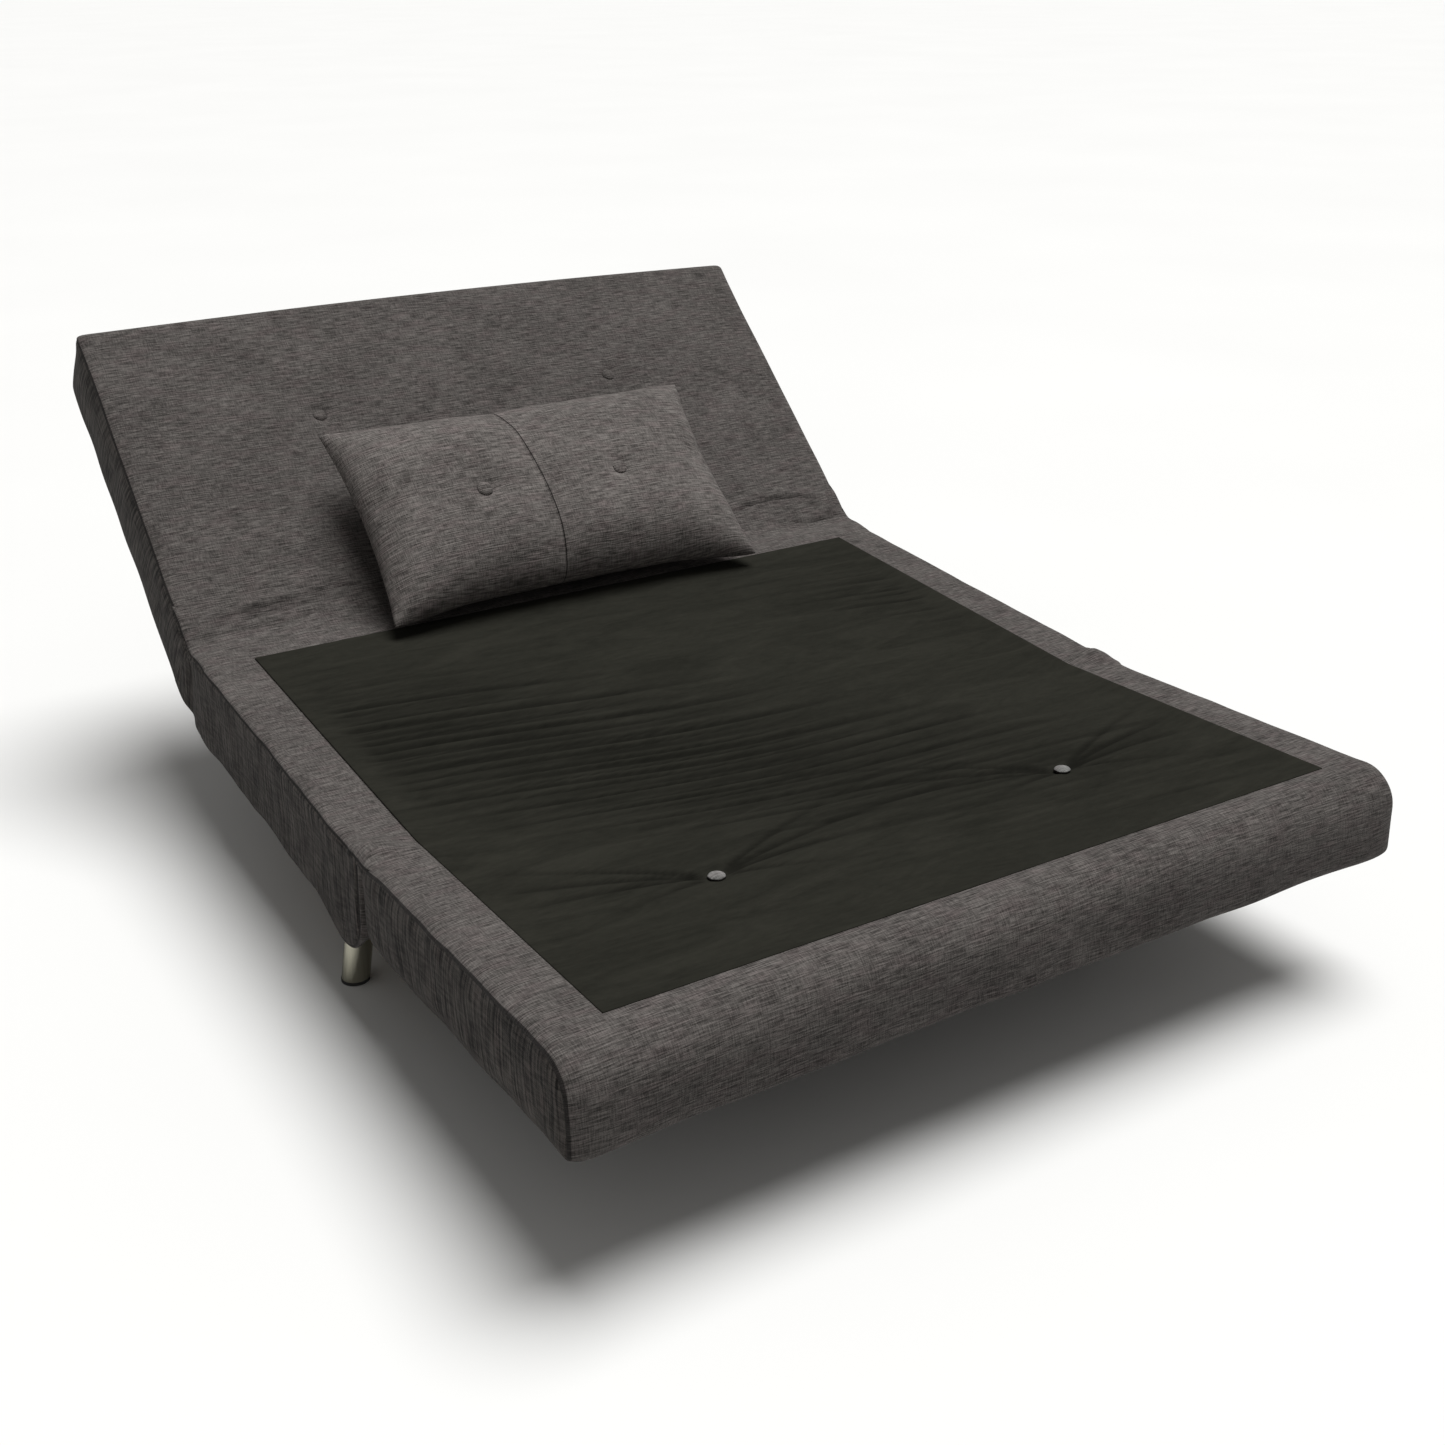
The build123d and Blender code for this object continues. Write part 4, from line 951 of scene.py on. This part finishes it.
def make_darts():
    """The side panels' cloth where seat and backrest meet: a fan over the crease."""
    rows, columns = 14, 15
    for word, side in (("left", -1), ("right", 1)):
        grid = np.zeros((rows, columns, 3))
        cloth = np.zeros((rows, columns, 2))
        for r in range(rows):
            depth = 0.0090 + (SEAT_THICK - 0.016) * r / (rows - 1)
            reach = 0.024 + depth * math.tan(CREASE_HALF_ANGLE)
            path = valley(depth, reach, columns)
            share = np.linspace(-1, 1, columns)
            bow = 0.0070 * bell(share, 0.28) * smoothstep(0, 4, r) + 0.0016
            grid[r, :, 0] = side * (HALF - bow)
            grid[r, :, 1:] = path
            cloth[r, :, 0] = -depth + 0.3
            cloth[r, :, 1] = share * reach + SEAT_LENGTH + 0.7
        dart = sheet_mesh(f"side_dart_{word}", grid, cloth, [panel], flip=side > 0)
        refine(dart, thickness=0.0008)
        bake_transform(dart)


# ---- buttons ----
BUTTON_SINK = 0.0008  # how far a button's back is drawn into the cloth
# A button's rings from back to cap, as shares of its radius and height.
BUTTON_RINGS = [(0.55, 0.0), (0.90, 0.06), (1.0, 0.28), (0.97, 0.52), (0.80, 0.80), (0.45, 0.96)]


def surface_height(piece, spots):
    """Mean height of a piece's upper face at the given places, in its own axes."""
    points = coords(piece.data)
    upper = points[points[:, 2] > (points[:, 2].max() + points[:, 2].min()) / 2]
    nearest = [np.hypot(upper[:, 0] - x, upper[:, 1] - y).argmin() for x, y in spots]
    return float(np.mean([upper[i, 2] for i in nearest]))


def make_buttons(name, body, replaced, axes, spots, base, radius, height, material):
    """Cloth-covered buttons: a domed cap, a rolled rim and a flat back, turned about the button's axis."""
    turns, rings = 28, len(BUTTON_RINGS)
    verts, faces, kinds = [], [], []
    for bx, by in spots:
        first = len(verts)
        for share, up in BUTTON_RINGS:
            for k in range(turns):
                a = 2 * math.pi * k / turns
                pucker = 1 + 0.025 * math.cos(7 * a) * (share > 0.9)
                reach = radius * share * pucker
                verts.append((bx + reach * math.cos(a), by + reach * math.sin(a), base + height * up))
        low = len(verts)
        verts.append((bx, by, base))
        verts.append((bx, by, base + height))
        for r in range(rings - 1):
            for k in range(turns):
                n = (k + 1) % turns
                a, b = first + r * turns, first + (r + 1) * turns
                faces.append((a + k, a + n, b + n, b + k))
                # painted shadow: the button's back and the lower rings of its rolled rim take the dark seam cloth
                kinds.append(int(r < 3))
        for k in range(turns):
            n = (k + 1) % turns
            faces.append((low, first + n, first + k))
            faces.append((low + 1, first + (rings - 1) * turns + k, first + (rings - 1) * turns + n))
            kinds.extend((1, 0))
    maps = [(verts[i][0], verts[i][1]) for face in faces for i in face]
    made = new_mesh(name, verts, faces, maps, kinds, [material, seam])
    made.matrix_world = axes
    refine(made)
    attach(made, body)
    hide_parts(replaced)


# ---- pillow ----
PILLOW_WIDTH, PILLOW_HEIGHT, PILLOW_THICK = 0.655, 0.352, 0.144
PILLOW_SEAM = -0.046  # where the middle seam runs, before it is curved
PILLOW_TUFTS = [(-0.124, -0.008), (0.113, -0.010)]
PILLOW_CELLS = (58, 32)  # across and up
PILLOW_CUT = (PILLOW_WIDTH * 1.075, PILLOW_HEIGHT * 1.14)  # the flat cloth before it is filled
PILLOW_PUFF = 0.008  # the most that the pillow's cloth travels as it settles
PILLOW_DROOP = 0.010  # how far the lower corners hang below the lower edge's middle


def pillow_object(sides, cloth, seam_at=None):
    """Two sheets of cloth sewn edge to edge. sides and cloth are (lower and upper, column, row, axis) grids.

    seam_at is the number of the column where the middle seam starts.
    """
    _, columns, rows, _ = sides.shape
    number = np.arange(2 * columns * rows).reshape(2, columns, rows)
    for edge in (np.s_[0, :], np.s_[-1, :], np.s_[:, 0], np.s_[:, -1]):
        number[1][edge] = number[0][edge]
    kept = np.unique(number)
    number = np.searchsorted(kept, number)
    faces, maps, kinds = [], [], []
    for side in (0, 1):
        at = number[side]
        for i in range(columns - 1):
            for j in range(rows - 1):
                quad = [(i, j), (i + 1, j), (i + 1, j + 1), (i, j + 1)][:: 1 if side else -1]
                faces.append(tuple(int(at[c]) for c in quad))
                maps.extend(cloth[side][c] for c in quad)
                # painted shadow, partly dark thread: the faces along the pillow's middle seam take the dark seam
                # cloth
                kinds.append(int(i == seam_at))
    points = sides.reshape(-1, 3)[kept]
    return new_mesh("pillow", points, faces, maps, kinds, [brightened_pillow_cloth, seam]), number


def pillow_blank():
    """The unfilled pillow: its two sheets lie flat with a little air between them."""
    u, v = np.meshgrid(*[np.linspace(-1, 1, count + 1) for count in PILLOW_CELLS], indexing="ij")
    lift = (0.004 + 0.016 * (1 - u**2) * (1 - v**2)) * (np.abs(u) < 1) * (np.abs(v) < 1)
    flat = np.stack([u * PILLOW_CUT[0] / 2, v * PILLOW_CUT[1] / 2, lift], -1)
    return np.stack([flat * (1, 1, -1), flat])


def fill(sides):
    """The filled pillow before its cloth settles: full in the middle, drawn in along its edges."""
    x, y, z = np.moveaxis(sides, -1, 0)
    u, v = 2 * x / PILLOW_CUT[0], 2 * y / PILLOW_CUT[1]
    full = np.clip((1 - np.abs(u) ** 3.4) * (1 - np.abs(v) ** 2.6), 0, 1) ** 0.52
    depth = np.sign(z) * full * PILLOW_THICK / 2
    return np.stack([x * (1 - 0.055 * (1 - v**2)), y * (1 - 0.040 * (1 - u**2)), depth], -1)


def shape_pillow(sides):
    """Brings the filled pillow to its real size, then pulls in its seam, its buttons and its lower edge."""
    flat = sides.reshape(-1, 3)
    size = flat.max(0) - flat.min(0)
    middle = (flat.max(0) + flat.min(0)) / 2
    points = (sides - middle) * np.array([PILLOW_WIDTH, PILLOW_HEIGHT, PILLOW_THICK]) / size
    x, y, z = np.moveaxis(points, -1, 0)
    thick = np.clip(np.abs(z) / (PILLOW_THICK / 2), 0, 1)
    side = np.array([-1.0, 1.0])[:, None, None]
    off_seam = x - PILLOW_SEAM
    groove = 0.0036 * bell(off_seam, 0.0024) + 0.0040 * bell(off_seam, 0.030)
    pull = tuft(x, y, PILLOW_TUFTS, 0.015, reach=0.016, spread=0.040, folds=8)
    slack = 0.0020 * waves(x, y, 0.11, 71) * (1 - thick) + 0.0010 * waves(x, y, 0.20, 72)
    inner = np.clip(thick * 1.6, 0, 1)
    z = z - side * (groove + pull) * inner + side * slack * np.clip(thick * 8, 0, 1)
    near_seam = bell(off_seam, 0.080)
    x = x + 0.020 * near_seam * np.cos(2.4 * (y / PILLOW_HEIGHT + 0.15))
    low = 1 - smoothstep(-PILLOW_HEIGHT / 2, -PILLOW_HEIGHT / 2 + 0.10, y)
    y = y - PILLOW_DROOP * low * smoothstep(0.16, 0.32, np.abs(x))
    return np.stack([x, y, z], -1)


def with_seam_columns(sides):
    """The same surface with extra columns of points beside the middle seam, by straight interpolation."""
    across = sides[0, :, 0, 0]
    extra = PILLOW_SEAM + np.array([-0.0110, -0.0060, -0.0026, -0.0008, 0.0008, 0.0026, 0.0060, 0.0110])
    wanted = np.sort(np.concatenate([across[np.abs(across - extra.mean()) > 0.016], extra]))
    after = np.clip(np.searchsorted(across, wanted), 1, len(across) - 1)
    share = ((wanted - across[after - 1]) / (across[after] - across[after - 1]))[None, :, None, None]
    return sides[:, after - 1] * (1 - share) + sides[:, after] * share


# The pillow's lower edge lies in front of the crease, clear of the seat even with the backrest upright.
pillow_axes = back_axes @ Matrix.Translation((0.004, -0.049 + PILLOW_HEIGHT / 2 - 0.014, 0.0800))


def finish_pillow(filled):
    sides = with_seam_columns(filled)
    seam_at = int(np.abs(sides[0, :, 0, 0] + 0.0008 - PILLOW_SEAM).argmin())
    sides = shape_pillow(sides)
    cloth = sides[..., :2] + np.array([[0.0, 0.4], [1.7, 0.4]])[:, None, None, :]
    pillow, _ = pillow_object(sides, cloth, seam_at)
    pillow.matrix_world = pillow_axes
    refine(pillow)
    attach(pillow, "pillow")
    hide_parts("pillow_filling", "pillow_cover")
    return pillow


# ---- CAD pieces that stay ----
def finish_frame():
    """Gives every CAD node that still shows its own finish, by the record's material slot."""
    finishes = {
        "beech": beech(),
        "webbing": strap_cloth(),
        "chrome": metal("chromed_tube", (0.40, 0.385, 0.31), 0.08, 0.10),
        "black_steel": painted("powder_coat", (0.020, 0.020, 0.021), 0.38),
        "zinc_steel": metal("zinc_plate", (0.13, 0.13, 0.14), 0.42, 0.14),
        "black_plastic": painted("moulded_plastic", (0.016, 0.016, 0.016), 0.5),
        "black_rubber": painted("rubber", (0.012, 0.012, 0.012), 0.75),
    }
    for entry in frame["record"]["subparts"]:
        node = frame["nodes"].get(entry.get("node") or entry.get("name"))
        finish = finishes.get(entry["material_slot"])
        if finish and node:
            node.data.materials.clear()
            node.data.materials.append(finish)


def make_floor():
    m = Nodes("pale_floor", roughness=0.7, specular_ior_level=0.2)
    tone = m.noise(m.place("object", (0.8, 0.8, 0.8)), detail=2)
    m.colour(m.ramp(tone, [(0.3, (0.755, 0.755, 0.745)), (0.7, (0.77, 0.77, 0.76))]))
    reach = 150.0
    corners = [(-reach, -reach, 0), (reach, -reach, 0), (reach, reach, 0), (-reach, reach, 0)]
    floor = new_mesh("floor", corners, [(0, 1, 2, 3)], [c[:2] for c in corners], [0], [m.material])


# ---- build ----
make_camera()
make_lights()
make_floor()

pads, pad_bases, pad_most = start_pads()
filled = fill(pillow_blank())
bag, bag_numbers = pillow_object(filled, filled[..., :2])
bag_base = coords(bag.data)
add_cloth(bag, np.zeros(len(bag_base), bool), 3.0)
*swollen, blown = run_cloth([*pads, bag])
filled = settle(bag_base, blown, np.full(len(bag_base), PILLOW_PUFF))[bag_numbers]
bpy.data.objects.remove(bag)
finish_pads(pads, pad_bases, swollen, pad_most)
pillow = finish_pillow(filled)

make_lining()
make_fold_strips()
make_crease_strip()
make_darts()

button_cloth = linen("button_cloth", (0.10, 0.10, 0.095), (0.26, 0.26, 0.25))
under_axes = front_axes @ Matrix.Rotation(math.pi, 4, "X")
under_spots = [(x, -y) for x, y in LINING_BUTTONS]
backrest_pad = bpy.data.objects["backrest_pad"]
back_base = surface_height(backrest_pad, BACK_BUTTONS) - BUTTON_SINK
pillow_base = surface_height(pillow, PILLOW_TUFTS) - BUTTON_SINK
lining_set = (front_axes, LINING_BUTTONS, -0.0135, 0.0113, 0.0070, button_cloth)
under_set = (under_axes, under_spots, 0.1095, 0.0115, 0.0065, cover)
back_set = (back_axes, BACK_BUTTONS, back_base, 0.0120, 0.0085, cover)
pillow_set = (pillow_axes, PILLOW_TUFTS, pillow_base, 0.0130, 0.0085, brightened_pillow_cloth)
make_buttons("front_lining_buttons", "front_section", "lining_buttons", *lining_set)
make_buttons("front_underside_buttons", "front_section", "front_seat_buttons", *under_set)
make_buttons("backrest_tuft_buttons", "backrest", "backrest_buttons", *back_set)
make_buttons("pillow_tuft_buttons", "pillow", "pillow_buttons", *pillow_set)
finish_frame()
